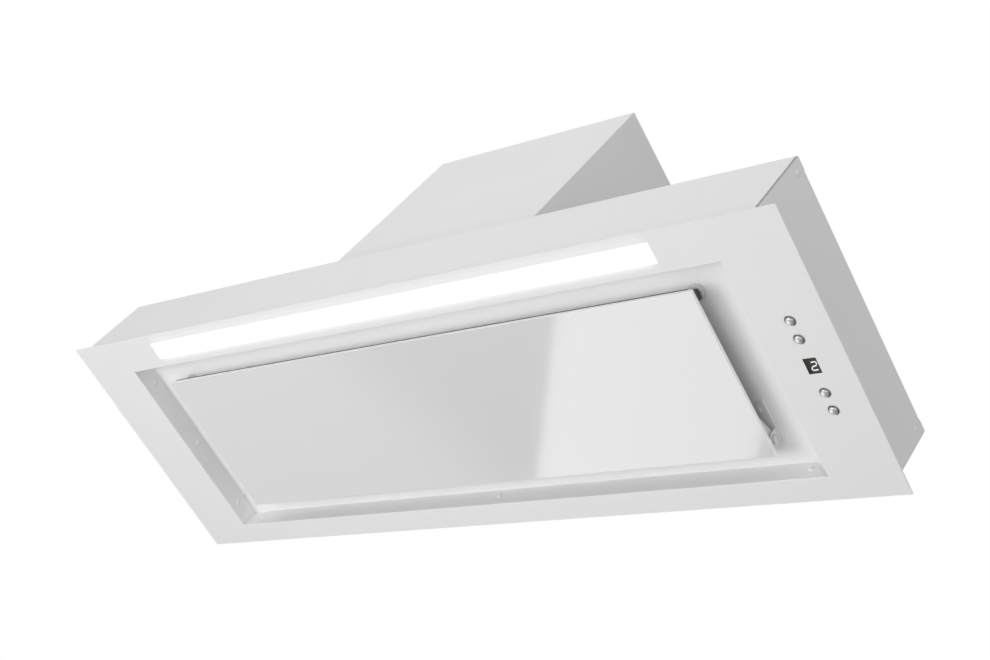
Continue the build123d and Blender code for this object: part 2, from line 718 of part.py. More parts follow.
with BuildPart() as panel_carrier:
    with BuildSketch(Plane.XY.offset(glass_top)):
        with Locations((0, carrier_y)):
            Rectangle(2 * carrier_half, carrier_depth)
    extrude(amount=CARRIER_SHEET + CARRIER_LIP)
    with BuildSketch(Plane.XY.offset(carrier_top)):
        with Locations((0, carrier_y)):
            Rectangle(2 * (carrier_half - CARRIER_SHEET), carrier_depth - 2 * CARRIER_SHEET)
    extrude(amount=CARRIER_LIP, mode=Mode.SUBTRACT)
    # Notches let the catch studs stand on the glass
    with BuildSketch(Plane.XY.offset(glass_top)):
        with Locations((catch_x, catch_y), (-catch_x, catch_y)):
            Rectangle(STUD_FOOT + 2 * STUD_BLOCK_GAP, STUD_FOOT + 2 * STUD_BLOCK_GAP)
    extrude(amount=CARRIER_SHEET + CARRIER_LIP, mode=Mode.SUBTRACT)
panel_carrier.part.label = "panel_carrier"

# Catch studs: a square block with a round nose that snaps into the socket above
socket_face = RECESS_HEIGHT - SOCKET_PROUD
stud_block_top = socket_face - STUD_BLOCK_GAP
with BuildPart() as catch_studs:
    with Locations((catch_x, catch_y, glass_top), (-catch_x, catch_y, glass_top)):
        Box(STUD_FOOT, STUD_FOOT, STUD_FOOT_HEIGHT, align=(Align.CENTER, Align.CENTER, Align.MIN))
        Box(
            STUD_BLOCK,
            STUD_BLOCK,
            stud_block_top - glass_top,
            align=(Align.CENTER, Align.CENTER, Align.MIN),
        )
    with Locations((catch_x, catch_y, stud_block_top), (-catch_x, catch_y, stud_block_top)):
        Cylinder(
            STUD_TIP_RADIUS,
            STUD_TIP_LENGTH,
            align=(Align.CENTER, Align.CENTER, Align.MIN),
        )
    chamfer(catch_studs.edges().group_by(Axis.Z)[-1], STUD_TIP_RADIUS / 2)
catch_studs.part.label = "catch_studs"

with BuildPart() as catch_sockets:
    with Locations((catch_x, catch_y, socket_face), (-catch_x, catch_y, socket_face)):
        Cylinder(SOCKET_RADIUS, SOCKET_PROUD, align=(Align.CENTER, Align.CENTER, Align.MIN))
    chamfer(catch_sockets.edges().group_by(Axis.Z)[0], SOCKET_PROUD / 4)
    with Locations((catch_x, catch_y, RECESS_HEIGHT), (-catch_x, catch_y, RECESS_HEIGHT)):
        Cylinder(
            SOCKET_COLLAR_RADIUS,
            SOCKET_COLLAR_HEIGHT,
            align=(Align.CENTER, Align.CENTER, Align.MIN),
        )
    with Locations((catch_x, catch_y, socket_face), (-catch_x, catch_y, socket_face)):
        Cylinder(
            SOCKET_BORE_RADIUS,
            SOCKET_PROUD + SOCKET_COLLAR_HEIGHT - CASE_SHEET,
            align=(Align.CENTER, Align.CENTER, Align.MIN),
            mode=Mode.SUBTRACT,
        )
catch_sockets.part.label = "catch_sockets"

# Hinge at the back corners: arms on the carrier, ears under the recess ceiling, shoulder pins
arm_inner = carrier_half
arm_outer = arm_inner + HINGE_PLATE
ear_inner = arm_outer + HINGE_PLAY
ear_outer = ear_inner + HINGE_PLATE
with BuildPart() as hinge_arm_right:
    with BuildSketch(Plane.YZ.offset(arm_inner)):
        with Locations((hinge_y, HINGE_HEIGHT)):
            Circle(ARM_EYE_RADIUS)
        with BuildLine():
            Polyline(
                (hinge_y - ARM_REACH, glass_top),
                (hinge_y, HINGE_HEIGHT - ARM_EYE_RADIUS),
                (hinge_y, HINGE_HEIGHT + ARM_EYE_RADIUS),
                (hinge_y - ARM_REACH, carrier_top + CARRIER_LIP),
                close=True,
            )
        make_face()
        with Locations((hinge_y, HINGE_HEIGHT)):
            Circle(HINGE_PIN_RADIUS + RUNNING_CLEARANCE, mode=Mode.SUBTRACT)
    extrude(amount=HINGE_PLATE)
with BuildPart() as hinge_arms:
    add(hinge_arm_right.part)
    mirror(hinge_arm_right.part, about=Plane.YZ)
hinge_arms.part.label = "hinge_arms"

with BuildPart() as hinge_bracket_right:
    with BuildSketch(Plane.YZ.offset(ear_inner)):
        with Locations((hinge_y, HINGE_HEIGHT)):
            Circle(HINGE_EAR_RADIUS)
            Rectangle(
                2 * HINGE_EAR_RADIUS,
                RECESS_HEIGHT - HINGE_HEIGHT,
                align=(Align.CENTER, Align.MIN),
            )
            Circle(HINGE_PIN_RADIUS, mode=Mode.SUBTRACT)
    extrude(amount=HINGE_PLATE)
    with Locations((ear_outer, hinge_y + HINGE_EAR_RADIUS, RECESS_HEIGHT)):
        Box(
            HINGE_FOOT_WIDTH + HINGE_PLATE,
            HINGE_FOOT_LENGTH,
            HINGE_FOOT_THICKNESS,
            align=(Align.MAX, Align.MAX, Align.MAX),
        )
    with Locations(*foot_rivet_places):
        Cylinder(RIVET_SHANK_RADIUS, 4 * HINGE_FOOT_THICKNESS, mode=Mode.SUBTRACT)
with BuildPart() as hinge_brackets:
    add(hinge_bracket_right.part)
    mirror(hinge_bracket_right.part, about=Plane.YZ)
hinge_brackets.part.label = "hinge_brackets"

with BuildPart() as hinge_pin_right:
    with Locations(at(ear_outer, hinge_y, HINGE_HEIGHT, (1, 0, 0))):
        Cylinder(
            HINGE_PIN_RADIUS,
            2 * HINGE_PLATE + HINGE_PLAY - HINGE_PIN_SHORT,
            align=(Align.CENTER, Align.CENTER, Align.MAX),
        )
        Cylinder(
            HINGE_PIN_HEAD_RADIUS,
            HINGE_PIN_HEAD,
            align=(Align.CENTER, Align.CENTER, Align.MIN),
        )
with BuildPart() as hinge_pins:
    add(hinge_pin_right.part)
    mirror(hinge_pin_right.part, about=Plane.YZ)
hinge_pins.part.label = "hinge_pins"

# Grease filters: a frame with a grooved rim, two hooks behind and a latch housing in front
window_half_width = filter_width / 2 - FILTER_RAIL
window_half_depth = filter_depth / 2 - FILTER_RAIL
tab_back = filter_front + LATCH_TAB_DEPTH
bolt_front = filter_front - LATCH_ENGAGE
bolt_back = bolt_front + LATCH_LENGTH
grip_back = bolt_back
grip_front = grip_back - GRIP_LENGTH
latch_base = filter_base + LATCH_FLOOR
filter_frames = []
for x, name in zip(filter_xs, ("filter_frame_left", "filter_frame_right")):
    with BuildPart() as filter_frame:
        with BuildSketch(Plane.XY.offset(filter_base)):
            with Locations((x, glass_y)):
                Rectangle(filter_width, filter_depth)
                Rectangle(2 * window_half_width, 2 * window_half_depth, mode=Mode.SUBTRACT)
        extrude(amount=FILTER_HEIGHT)
        with BuildSketch(Plane.XY.offset(filter_base + FILTER_WEB)):
            with Locations((x, glass_y)):
                Rectangle(
                    2 * (window_half_width + FILTER_GROOVE),
                    2 * (window_half_depth + FILTER_GROOVE),
                )
        extrude(amount=FILTER_HEIGHT - 2 * FILTER_WEB, mode=Mode.SUBTRACT)
        with Locations((x, filter_front, filter_base)):
            Box(
                LATCH_TAB_WIDTH,
                LATCH_TAB_DEPTH,
                FILTER_HEIGHT,
                align=(Align.CENTER, Align.MIN, Align.MIN),
            )
        with Locations((x, filter_front, latch_base - LATCH_PLAY)):
            Box(
                LATCH_WIDTH + 2 * LATCH_PLAY,
                2 * (bolt_back + LATCH_TRAVEL + LATCH_PLAY - filter_front),
                LATCH_THICKNESS + 2 * LATCH_PLAY,
                align=(Align.CENTER, Align.CENTER, Align.MIN),
                mode=Mode.SUBTRACT,
            )
        with Locations((x, grip_front - LATCH_PLAY, filter_base)):
            Box(
                GRIP_WIDTH + 2 * LATCH_PLAY,
                GRIP_LENGTH + LATCH_TRAVEL + 2 * LATCH_PLAY,
                LATCH_FLOOR,
                align=(Align.CENTER, Align.MIN, Align.MIN),
                mode=Mode.SUBTRACT,
            )
        for shift in (-HOOK_SPREAD, HOOK_SPREAD):
            with Locations((x + shift, filter_back, hook_z)):
                Box(
                    HOOK_WIDTH,
                    HOOK_LENGTH,
                    HOOK_THICKNESS,
                    align=(Align.CENTER, Align.MIN, Align.CENTER),
                )
    filter_frame.part.label = name
    filter_frames.append(filter_frame)

# Filter mesh: one corrugated sheet held in the groove, stopped short of the latch housing
mesh_height = FILTER_HEIGHT - 2 * FILTER_WEB - 2 * MESH_PLAY
mesh_half_width = window_half_width + FILTER_GROOVE - MESH_PLAY
mesh_back = glass_y + window_half_depth + FILTER_GROOVE - MESH_PLAY
mesh_front = glass_y - window_half_depth - FILTER_GROOVE + MESH_PLAY
mesh_waves = round(2 * mesh_half_width / MESH_PITCH)
mesh_step = mesh_half_width / mesh_waves
mesh_middle = filter_base + FILTER_HEIGHT / 2
mesh_swing = (mesh_height - 2 * MESH_SHEET) / 2
filter_meshes = []
for x, name in zip(filter_xs, ("filter_mesh_left", "filter_mesh_right")):
    wave = [
        (x - mesh_half_width + mesh_step * i, mesh_middle + mesh_swing * (-1) ** i)
        for i in range(2 * mesh_waves + 1)
    ]
    with BuildPart() as filter_mesh:
        with BuildSketch(Plane.XZ.offset(-mesh_front)):
            with BuildLine():
                Polyline(*wave, *[(px, pz + MESH_SHEET) for px, pz in reversed(wave)], close=True)
            make_face()
        extrude(amount=mesh_front - mesh_back)
        with Locations((x, mesh_front, filter_base)):
            Box(
                LATCH_TAB_WIDTH + 2 * MESH_PLAY,
                2 * (tab_back + MESH_PLAY - mesh_front),
                FILTER_HEIGHT,
                align=(Align.CENTER, Align.CENTER, Align.MIN),
                mode=Mode.SUBTRACT,
            )
    filter_mesh.part.label = name
    filter_meshes.append(filter_mesh)

# Filter latches: a bolt in the housing with a grip below it
filter_latches = []
for x, name in zip(filter_xs, ("filter_latch_left", "filter_latch_right")):
    with BuildPart() as filter_latch:
        with Locations((x, bolt_front, latch_base)):
            Box(
                LATCH_WIDTH,
                LATCH_LENGTH,
                LATCH_THICKNESS,
                align=(Align.CENTER, Align.MIN, Align.MIN),
            )
        with Locations((x, grip_front, filter_base - GRIP_DROP)):
            Box(
                GRIP_WIDTH,
                GRIP_LENGTH,
                GRIP_DROP + LATCH_FLOOR,
                align=(Align.CENTER, Align.MIN, Align.MIN),
            )
        nose = filter_latch.edges().group_by(Axis.Y)[0].sort_by(Axis.Z)[-1]
        chamfer(nose, LATCH_THICKNESS / 2)
    filter_latch.part.label = name
    filter_latches.append(filter_latch)

# Buttons: polished bezels in the face panel, raised caps with stems that run in the switches
with BuildPart() as button_bezels:
    with BuildSketch(Plane.XY.offset(-FACE_SHEET - BEZEL_LIP)):
        with Locations(*button_places):
            Circle(BEZEL_RADIUS)
    extrude(amount=BEZEL_LIP)
    with BuildSketch(Plane.XY.offset(-FACE_SHEET)):
        with Locations(*button_places):
            Circle(BEZEL_BARREL_RADIUS)
    extrude(amount=BEZEL_HEIGHT + FACE_SHEET)
    with BuildSketch(Plane.XY.offset(-FACE_SHEET - BEZEL_LIP)):
        with Locations(*button_places):
            Circle(BUTTON_RADIUS + RUNNING_CLEARANCE)
    extrude(amount=BEZEL_LIP + FACE_SHEET + BEZEL_HEIGHT, mode=Mode.SUBTRACT)
button_bezels.part.label = "button_bezels"

cap_rim = -FACE_SHEET - BEZEL_LIP - BUTTON_PROUD
stop_base = BEZEL_HEIGHT + RUNNING_CLEARANCE
stop_top = stop_base + BUTTON_STOP_HEIGHT
stem_top = SWITCH_BASE + SWITCH_HEIGHT - BUTTON_TRAVEL - STEM_MARGIN
button_caps = []
for y, name in zip(button_ys, ("button_light", "button_minus", "button_plus", "button_power")):
    with BuildPart() as button_cap:
        with BuildSketch(Plane.XZ):
            with BuildLine():
                Polyline(
                    (0, cap_rim - BUTTON_DOME),
                    (BUTTON_FLAT_RADIUS, cap_rim - BUTTON_DOME),
                    (BUTTON_RADIUS, cap_rim),
                    (BUTTON_RADIUS, stop_base),
                    (BUTTON_STOP_RADIUS, stop_base),
                    (BUTTON_STOP_RADIUS, stop_top),
                    (BUTTON_STEM_RADIUS, stop_top),
                    (BUTTON_STEM_RADIUS, stem_top),
                    (0, stem_top),
                    close=True,
                )
            make_face()
        revolve(axis=Axis.Z)
    with BuildPart() as placed_cap:
        with Locations((control_x, y, 0)):
            add(button_cap.part)
    placed_cap.part.label = name
    button_caps.append(placed_cap)

with BuildPart() as switch_bodies:
    with BuildSketch(Plane.XY.offset(SWITCH_BASE)):
        with Locations(*button_places):
            Rectangle(SWITCH_SIZE, SWITCH_SIZE)
            Circle(BUTTON_STEM_RADIUS + RUNNING_CLEARANCE, mode=Mode.SUBTRACT)
    extrude(amount=SWITCH_HEIGHT)
switch_bodies.part.label = "switch_bodies"

# Display: a smoked window in the face panel with the digit module behind it
window_width = DISPLAY_WIDTH - 2 * RUNNING_CLEARANCE
window_length = DISPLAY_LENGTH - 2 * RUNNING_CLEARANCE
with BuildPart() as display_window:
    with Locations((control_x, DISPLAY_SHIFT, -FACE_SHEET)):
        Box(window_width, window_length, FACE_SHEET, align=(Align.CENTER, Align.CENTER, Align.MIN))
    with Locations((control_x, DISPLAY_SHIFT, 0)):
        Box(
            window_width + 2 * DISPLAY_RIM,
            window_length + 2 * DISPLAY_RIM,
            DISPLAY_RIM,
            align=(Align.CENTER, Align.CENTER, Align.MIN),
        )
display_window.part.label = "display_window"

board_base = SWITCH_BASE + SWITCH_HEIGHT
with BuildPart() as display_module:
    with Locations((control_x, DISPLAY_SHIFT, DISPLAY_RIM)):
        Box(
            DISPLAY_MODULE_WIDTH,
            DISPLAY_LENGTH,
            board_base - DISPLAY_RIM,
            align=(Align.CENTER, Align.CENTER, Align.MIN),
        )
display_module.part.label = "display_module"

# Control board on posts inside a moulded cover that closes against the face panel
cover_inner_x = tray_width / 2 + COVER_CLEARANCE
cover_outer_x = case_inner_half - CASE_SHEET
cover_front = button_ys[0] - BEZEL_RADIUS - COVER_END_MARGIN
cover_back = button_ys[-1] + BEZEL_RADIUS + COVER_END_MARGIN
cover_x = (cover_inner_x + cover_outer_x) / 2
cover_y = (cover_front + cover_back) / 2
cover_width = cover_outer_x - cover_inner_x
cover_length = cover_back - cover_front
board_width = cover_width - 2 * COVER_WALL - COVER_CLEARANCE
board_length = cover_length - 2 * COVER_WALL - COVER_CLEARANCE
with BuildPart() as control_board:
    with Locations((cover_x, cover_y, board_base)):
        Box(
            board_width,
            board_length,
            BOARD_THICKNESS,
            align=(Align.CENTER, Align.CENTER, Align.MIN),
        )
control_board.part.label = "control_board"

post_x = board_width / 2 - BOARD_POST_RADIUS
post_y = board_length / 2 - BOARD_POST_RADIUS
post_base = board_base + BOARD_THICKNESS
with BuildPart() as control_cover:
    with BuildSketch():
        with Locations((cover_x, cover_y)):
            Rectangle(cover_width, cover_length)
    extrude(amount=COVER_HEIGHT)
    fillet(control_cover.edges().filter_by(Axis.Z), COVER_WALL)
    with BuildSketch():
        with Locations((cover_x, cover_y)):
            Rectangle(cover_width - 2 * COVER_WALL, cover_length - 2 * COVER_WALL)
    extrude(amount=COVER_HEIGHT - COVER_WALL, mode=Mode.SUBTRACT)
    with BuildSketch(Plane.XY.offset(post_base)):
        with Locations((cover_x, cover_y)):
            with GridLocations(2 * post_x, 2 * post_y, 2, 2):
                Circle(BOARD_POST_RADIUS)
    extrude(amount=COVER_HEIGHT - COVER_WALL - post_base)
control_cover.part.label = "control_cover"

# Fan scroll: a volute of three quarter arcs, each larger than the last by the growth
first_y = SCROLL_SHIFT - SCROLL_GROWTH / 2
first_z = wheel_z - SCROLL_GROWTH / 2
tongue = math.radians(TONGUE_ANGLE)
tongue_y = first_y + SCROLL_BASE_RADIUS * math.cos(tongue)
tongue_z = first_z + SCROLL_BASE_RADIUS * math.sin(tongue)
outer_y = first_y + SCROLL_GROWTH + SCROLL_BASE_RADIUS + 2 * SCROLL_GROWTH
outer_z = first_z + SCROLL_GROWTH
neck_z = wheel_z + NECK_HEIGHT
inlet_end = SCROLL_HALF_WIDTH - INLET_LIP
with BuildPart() as scroll:
    with BuildSketch(Plane.YZ.offset(-SCROLL_HALF_WIDTH)) as volute:
        with BuildLine():
            CenterArc((first_y, first_z), SCROLL_BASE_RADIUS, TONGUE_ANGLE, 180 - TONGUE_ANGLE)
            CenterArc(
                (first_y + SCROLL_GROWTH, first_z),
                SCROLL_BASE_RADIUS + SCROLL_GROWTH,
                180,
                90,
            )
            CenterArc(
                (first_y + SCROLL_GROWTH, first_z + SCROLL_GROWTH),
                SCROLL_BASE_RADIUS + 2 * SCROLL_GROWTH,
                270,
                90,
            )
            Line((outer_y, outer_z), (outer_y, neck_z))
            Line((outer_y, neck_z), (tongue_y, neck_z))
            Line((tongue_y, neck_z), (tongue_y, tongue_z))
        make_face()
    extrude(amount=2 * SCROLL_HALF_WIDTH)
    with BuildSketch(Plane.YZ.offset(SCROLL_WALL - SCROLL_HALF_WIDTH)):
        add(volute.sketch_local)
        offset(amount=-SCROLL_WALL, mode=Mode.REPLACE)
        with Locations(((tongue_y + outer_y) / 2, neck_z)):
            Rectangle(outer_y - tongue_y - 2 * SCROLL_WALL, 4 * SCROLL_WALL)
    extrude(amount=2 * (SCROLL_HALF_WIDTH - SCROLL_WALL), mode=Mode.SUBTRACT)
    for start in (-SCROLL_HALF_WIDTH, inlet_end):
        with BuildSketch(Plane.YZ.offset(start)):
            with Locations((SCROLL_SHIFT, wheel_z)):
                Circle(INLET_RADIUS + INLET_LIP_WALL)
        extrude(amount=INLET_LIP)
    with BuildSketch(Plane.YZ.offset(-SCROLL_HALF_WIDTH)):
        with Locations((SCROLL_SHIFT, wheel_z)):
            Circle(INLET_RADIUS)
    extrude(amount=2 * SCROLL_HALF_WIDTH, mode=Mode.SUBTRACT)
    # Chamfered mouth on each side
    with Locations(*mirrored_pair(SCROLL_HALF_WIDTH, SCROLL_SHIFT, wheel_z, (1, 0, 0))):
        Cone(
            INLET_RADIUS,
            INLET_RADIUS + INLET_LIP_WALL / 2,
            INLET_LIP_WALL / 2,
            align=(Align.CENTER, Align.CENTER, Align.MAX),
            mode=Mode.SUBTRACT,
        )
with BuildPart() as scroll_right:
    add(scroll.part)
    split(bisect_by=Plane.YZ, keep=Keep.TOP)
scroll_right.part.label = "scroll_right"
with BuildPart() as scroll_left:
    add(scroll.part)
    split(bisect_by=Plane.YZ, keep=Keep.BOTTOM)
scroll_left.part.label = "scroll_left"

# Transition duct: four flat walls from the scroll's neck to a square inside the round outlet, and
# a round flange screwed under the cover
neck_y = (tongue_y + outer_y) / 2
neck_width = 2 * SCROLL_HALF_WIDTH
neck_depth = outer_y - tongue_y
duct_radius = COLLAR_RADIUS - COLLAR_WALL
duct_side = duct_radius * math.sqrt(2)
duct_top = box_inner_top - DUCT_FLANGE_THICKNESS
with BuildPart() as transition_duct:
    with BuildSketch(Plane.XY.offset(neck_z)):
        with Locations((0, neck_y)):
            Rectangle(neck_width, neck_depth)
    with BuildSketch(Plane.XY.offset(duct_top)):
        with Locations((0, COLLAR_SHIFT)):
            Rectangle(duct_side, duct_side)
    loft(ruled=True)
    with BuildSketch(Plane.XY.offset(duct_top)):
        with Locations((0, COLLAR_SHIFT)):
            Circle(duct_radius + DUCT_FLANGE)
    extrude(amount=DUCT_FLANGE_THICKNESS)
    with BuildSketch(Plane.XY.offset(neck_z)):
        with Locations((0, neck_y)):
            Rectangle(neck_width - 2 * SCROLL_WALL, neck_depth - 2 * SCROLL_WALL)
    with BuildSketch(Plane.XY.offset(duct_top)):
        with Locations((0, COLLAR_SHIFT)):
            Rectangle(duct_side - 2 * SCROLL_WALL, duct_side - 2 * SCROLL_WALL)
    loft(ruled=True, mode=Mode.SUBTRACT)
    with BuildSketch(Plane.XY.offset(duct_top)):
        with Locations((0, COLLAR_SHIFT)):
            Rectangle(duct_side - 2 * SCROLL_WALL, duct_side - 2 * SCROLL_WALL)
    extrude(amount=DUCT_FLANGE_THICKNESS, mode=Mode.SUBTRACT)
    with Locations(*collar_screw_places):
        Cylinder(SCREW_SHANK_RADIUS, 4 * SCREW_LENGTH, mode=Mode.SUBTRACT)
transition_duct.part.label = "transition_duct"

# Impeller: forward-curved blades between two rings, carried by a centre disc and hub
wheel_plane = Plane(origin=(0, SCROLL_SHIFT, wheel_z), x_dir=(0, 1, 0), z_dir=(1, 0, 0))
sweep = math.radians(BLADE_SWEEP)
tip_radius = WHEEL_RADIUS - BLADE_THICKNESS
blade_root = (WHEEL_INNER_RADIUS, 0)
blade_tip = (tip_radius * math.cos(sweep), tip_radius * math.sin(sweep))
blade_middle = ((blade_root[0] + blade_tip[0]) / 2 + BLADE_BULGE / 2, blade_tip[1] / 2 - BLADE_BULGE / 2)
with BuildPart() as impeller:
    with BuildSketch(wheel_plane):
        with PolarLocations(0, BLADE_COUNT):
            with BuildLine():
                Polyline(
                    blade_root,
                    blade_middle,
                    blade_tip,
                    (blade_tip[0], blade_tip[1] + BLADE_THICKNESS),
                    (blade_middle[0], blade_middle[1] + BLADE_THICKNESS),
                    (blade_root[0], blade_root[1] + BLADE_THICKNESS),
                    close=True,
                )
            make_face()
    extrude(amount=WHEEL_HALF_WIDTH, both=True)
    for start in (-WHEEL_HALF_WIDTH, WHEEL_HALF_WIDTH - WHEEL_RING):
        with BuildSketch(wheel_plane.offset(start)):
            Circle(WHEEL_RADIUS)
            Circle(WHEEL_INNER_RADIUS, mode=Mode.SUBTRACT)
        extrude(amount=WHEEL_RING)
    with BuildSketch(wheel_plane.offset(-DISC_THICKNESS / 2)):
        Circle(WHEEL_RADIUS)
    extrude(amount=DISC_THICKNESS)
    with BuildSketch(wheel_plane.offset(-HUB_LEFT)):
        Circle(HUB_RADIUS)
    extrude(amount=HUB_LEFT + HUB_RIGHT)
    with BuildSketch(wheel_plane.offset(-HUB_LEFT)):
        Circle(SHAFT_RADIUS)
    extrude(amount=HUB_LEFT + HUB_RIGHT, mode=Mode.SUBTRACT)
impeller.part.label = "impeller"

# Shaft with the motor's rotor, and the nut that holds the impeller
motor_end = MOTOR_START + MOTOR_LENGTH
rotor_start = MOTOR_START + (MOTOR_LENGTH - ROTOR_LENGTH) / 2
with BuildPart() as fan_shaft:
    with BuildSketch(wheel_plane.offset(-SHAFT_LEFT_END)):
        Circle(SHAFT_RADIUS)
    extrude(amount=SHAFT_LEFT_END + motor_end)
fan_shaft.part.label = "fan_shaft"

with BuildPart() as motor_rotor:
    with BuildSketch(wheel_plane.offset(rotor_start)):
        Circle(ROTOR_RADIUS)
        Circle(SHAFT_RADIUS, mode=Mode.SUBTRACT)
    extrude(amount=ROTOR_LENGTH)
motor_rotor.part.label = "motor_rotor"

with BuildPart() as impeller_nut:
    with BuildSketch(wheel_plane.offset(-HUB_LEFT - NUT_THICKNESS)):
        RegularPolygon(NUT_WIDTH / 2, 6, major_radius=False)
        Circle(SHAFT_RADIUS, mode=Mode.SUBTRACT)
    extrude(amount=NUT_THICKNESS)
impeller_nut.part.label = "impeller_nut"

# Motor: a cup and an end cap, each with a bush, on a three-armed bracket with rubber mounts
with BuildPart() as motor_can:
    with BuildSketch(wheel_plane.offset(MOTOR_START)):
        Circle(MOTOR_RADIUS)
    extrude(amount=MOTOR_LENGTH - MOTOR_WALL)
    chamfer(motor_can.edges().group_by(Axis.X)[0], MOTOR_WALL / 2)
    with BuildSketch(wheel_plane.offset(MOTOR_START + MOTOR_WALL)):
        Circle(MOTOR_RADIUS - MOTOR_WALL)
    extrude(amount=MOTOR_LENGTH - 2 * MOTOR_WALL, mode=Mode.SUBTRACT)
    with BuildSketch(wheel_plane.offset(MOTOR_START)):
        Circle(BUSH_RADIUS)
    extrude(amount=MOTOR_WALL, mode=Mode.SUBTRACT)
motor_can.part.label = "motor_can"

with BuildPart() as motor_end_cap:
    with BuildSketch(wheel_plane.offset(motor_end - MOTOR_WALL)):
        Circle(MOTOR_RADIUS)
        Circle(BUSH_RADIUS, mode=Mode.SUBTRACT)
    extrude(amount=MOTOR_WALL)
motor_end_cap.part.label = "motor_end_cap"

with BuildPart() as motor_bushes:
    for start in (MOTOR_START, motor_end - BUSH_LENGTH):
        with BuildSketch(wheel_plane.offset(start)):
            Circle(BUSH_RADIUS)
            Circle(SHAFT_RADIUS + RUNNING_CLEARANCE, mode=Mode.SUBTRACT)
        extrude(amount=BUSH_LENGTH)
motor_bushes.part.label = "motor_bushes"

bracket_x = SCROLL_HALF_WIDTH + MOUNT_LENGTH
with BuildPart() as motor_bracket:
    with BuildSketch(wheel_plane.offset(bracket_x)):
        Circle(MOTOR_RADIUS + BRACKET_RING)
        with PolarLocations(MOUNT_DISTANCE, BRACKET_ARM_COUNT, start_angle=90):
            Circle(BRACKET_ARM_WIDTH / 2)
        with PolarLocations(MOUNT_DISTANCE / 2, BRACKET_ARM_COUNT, start_angle=90):
            Rectangle(MOUNT_DISTANCE, BRACKET_ARM_WIDTH)
        Circle(MOTOR_RADIUS, mode=Mode.SUBTRACT)
    extrude(amount=BRACKET_THICKNESS)
motor_bracket.part.label = "motor_bracket"

with BuildPart() as motor_mounts:
    with BuildSketch(wheel_plane.offset(SCROLL_HALF_WIDTH)):
        with PolarLocations(MOUNT_DISTANCE, BRACKET_ARM_COUNT, start_angle=90):
            Circle(MOUNT_RADIUS)
    extrude(amount=MOUNT_LENGTH)
motor_mounts.part.label = "motor_mounts"

# Outlet collar: a shoulder outside stops the duct, and a rim inside stops the flaps
flap_bottom = pin_z - FLAP_THICKNESS / 2
stop_top_z = flap_bottom - STOP_GAP
with BuildPart() as outlet_collar:
    with BuildSketch(Plane.XY.offset(collar_base)):
        with Locations((0, COLLAR_SHIFT)):
            Circle(COLLAR_RADIUS + COLLAR_FLANGE)
    extrude(amount=COLLAR_FLANGE_THICKNESS)
    with BuildSketch(Plane.XY.offset(collar_base)):
        with Locations((0, COLLAR_SHIFT)):
            Circle(COLLAR_RADIUS + COLLAR_SHOULDER)
    extrude(amount=COLLAR_FLANGE_THICKNESS + COLLAR_SHOULDER_HEIGHT)
    with BuildSketch(Plane.XY.offset(collar_base)):
        with Locations((0, COLLAR_SHIFT)):
            Circle(COLLAR_RADIUS)
    extrude(amount=COLLAR_HEIGHT)
    with BuildSketch(Plane.XY.offset(collar_base)):
        with Locations((0, COLLAR_SHIFT)):
            Circle(COLLAR_RADIUS - COLLAR_WALL)
    extrude(amount=COLLAR_HEIGHT, mode=Mode.SUBTRACT)
    with BuildSketch(Plane.XY.offset(stop_top_z - STOP_THICKNESS)):
        with Locations((0, COLLAR_SHIFT)):
            Circle(COLLAR_RADIUS - COLLAR_WALL)
            Circle(COLLAR_RADIUS - COLLAR_WALL - STOP_WIDTH, mode=Mode.SUBTRACT)
    extrude(amount=STOP_THICKNESS)
    with Locations(at(0, COLLAR_SHIFT, pin_z, (1, 0, 0))):
        Cylinder(FLAP_PIN_RADIUS, 2 * COLLAR_RADIUS + OVERRUN, mode=Mode.SUBTRACT)
    with Locations(*collar_screw_places):
        Cylinder(SCREW_SHANK_RADIUS, 4 * COLLAR_FLANGE_THICKNESS, mode=Mode.SUBTRACT)
outlet_collar.part.label = "outlet_collar"

collar_screw = pan_screw(SCREW_LENGTH)
with BuildPart() as collar_screws:
    with Locations(*collar_screw_places):
        add(collar_screw)
collar_screws.part.label = "collar_screws"

with BuildPart() as flap_pin:
    with Locations(at(0, COLLAR_SHIFT, pin_z, (1, 0, 0))):
        Cylinder(FLAP_PIN_RADIUS, 2 * (COLLAR_RADIUS - STOP_GAP))
flap_pin.part.label = "flap_pin"

# Backdraft flaps: half discs whose knuckles share the pin
flap_radius = COLLAR_RADIUS - COLLAR_WALL - FLAP_CLEARANCE
flaps = []
for side, name, knuckle_xs in (
    (-1, "flap_front", (-2 * KNUCKLE_SPACING, 0, 2 * KNUCKLE_SPACING)),
    (1, "flap_rear", (-KNUCKLE_SPACING, KNUCKLE_SPACING)),
):
    with BuildPart() as flap:
        with BuildSketch(Plane.XY.offset(flap_bottom)):
            with Locations((0, COLLAR_SHIFT)):
                Circle(flap_radius)
            with Locations((0, COLLAR_SHIFT - side * (flap_radius - FLAP_START))):
                Rectangle(2 * COLLAR_RADIUS, 2 * flap_radius, mode=Mode.SUBTRACT)
        extrude(amount=FLAP_THICKNESS)
        for x in knuckle_xs:
            with Locations((x, COLLAR_SHIFT, pin_z)):
                Box(
                    KNUCKLE_LENGTH,
                    FLAP_START + FLAP_THICKNESS,
                    FLAP_THICKNESS,
                    align=(Align.CENTER, Align.MAX if side < 0 else Align.MIN, Align.CENTER),
                )
            with Locations(at(x, COLLAR_SHIFT, pin_z, (1, 0, 0))):
                Cylinder(KNUCKLE_RADIUS, KNUCKLE_LENGTH)
        with Locations(at(0, COLLAR_SHIFT, pin_z, (1, 0, 0))):
            Cylinder(FLAP_PIN_RADIUS + RUNNING_CLEARANCE, 2 * COLLAR_RADIUS, mode=Mode.SUBTRACT)
    flap.part.label = name
    flaps.append(flap)

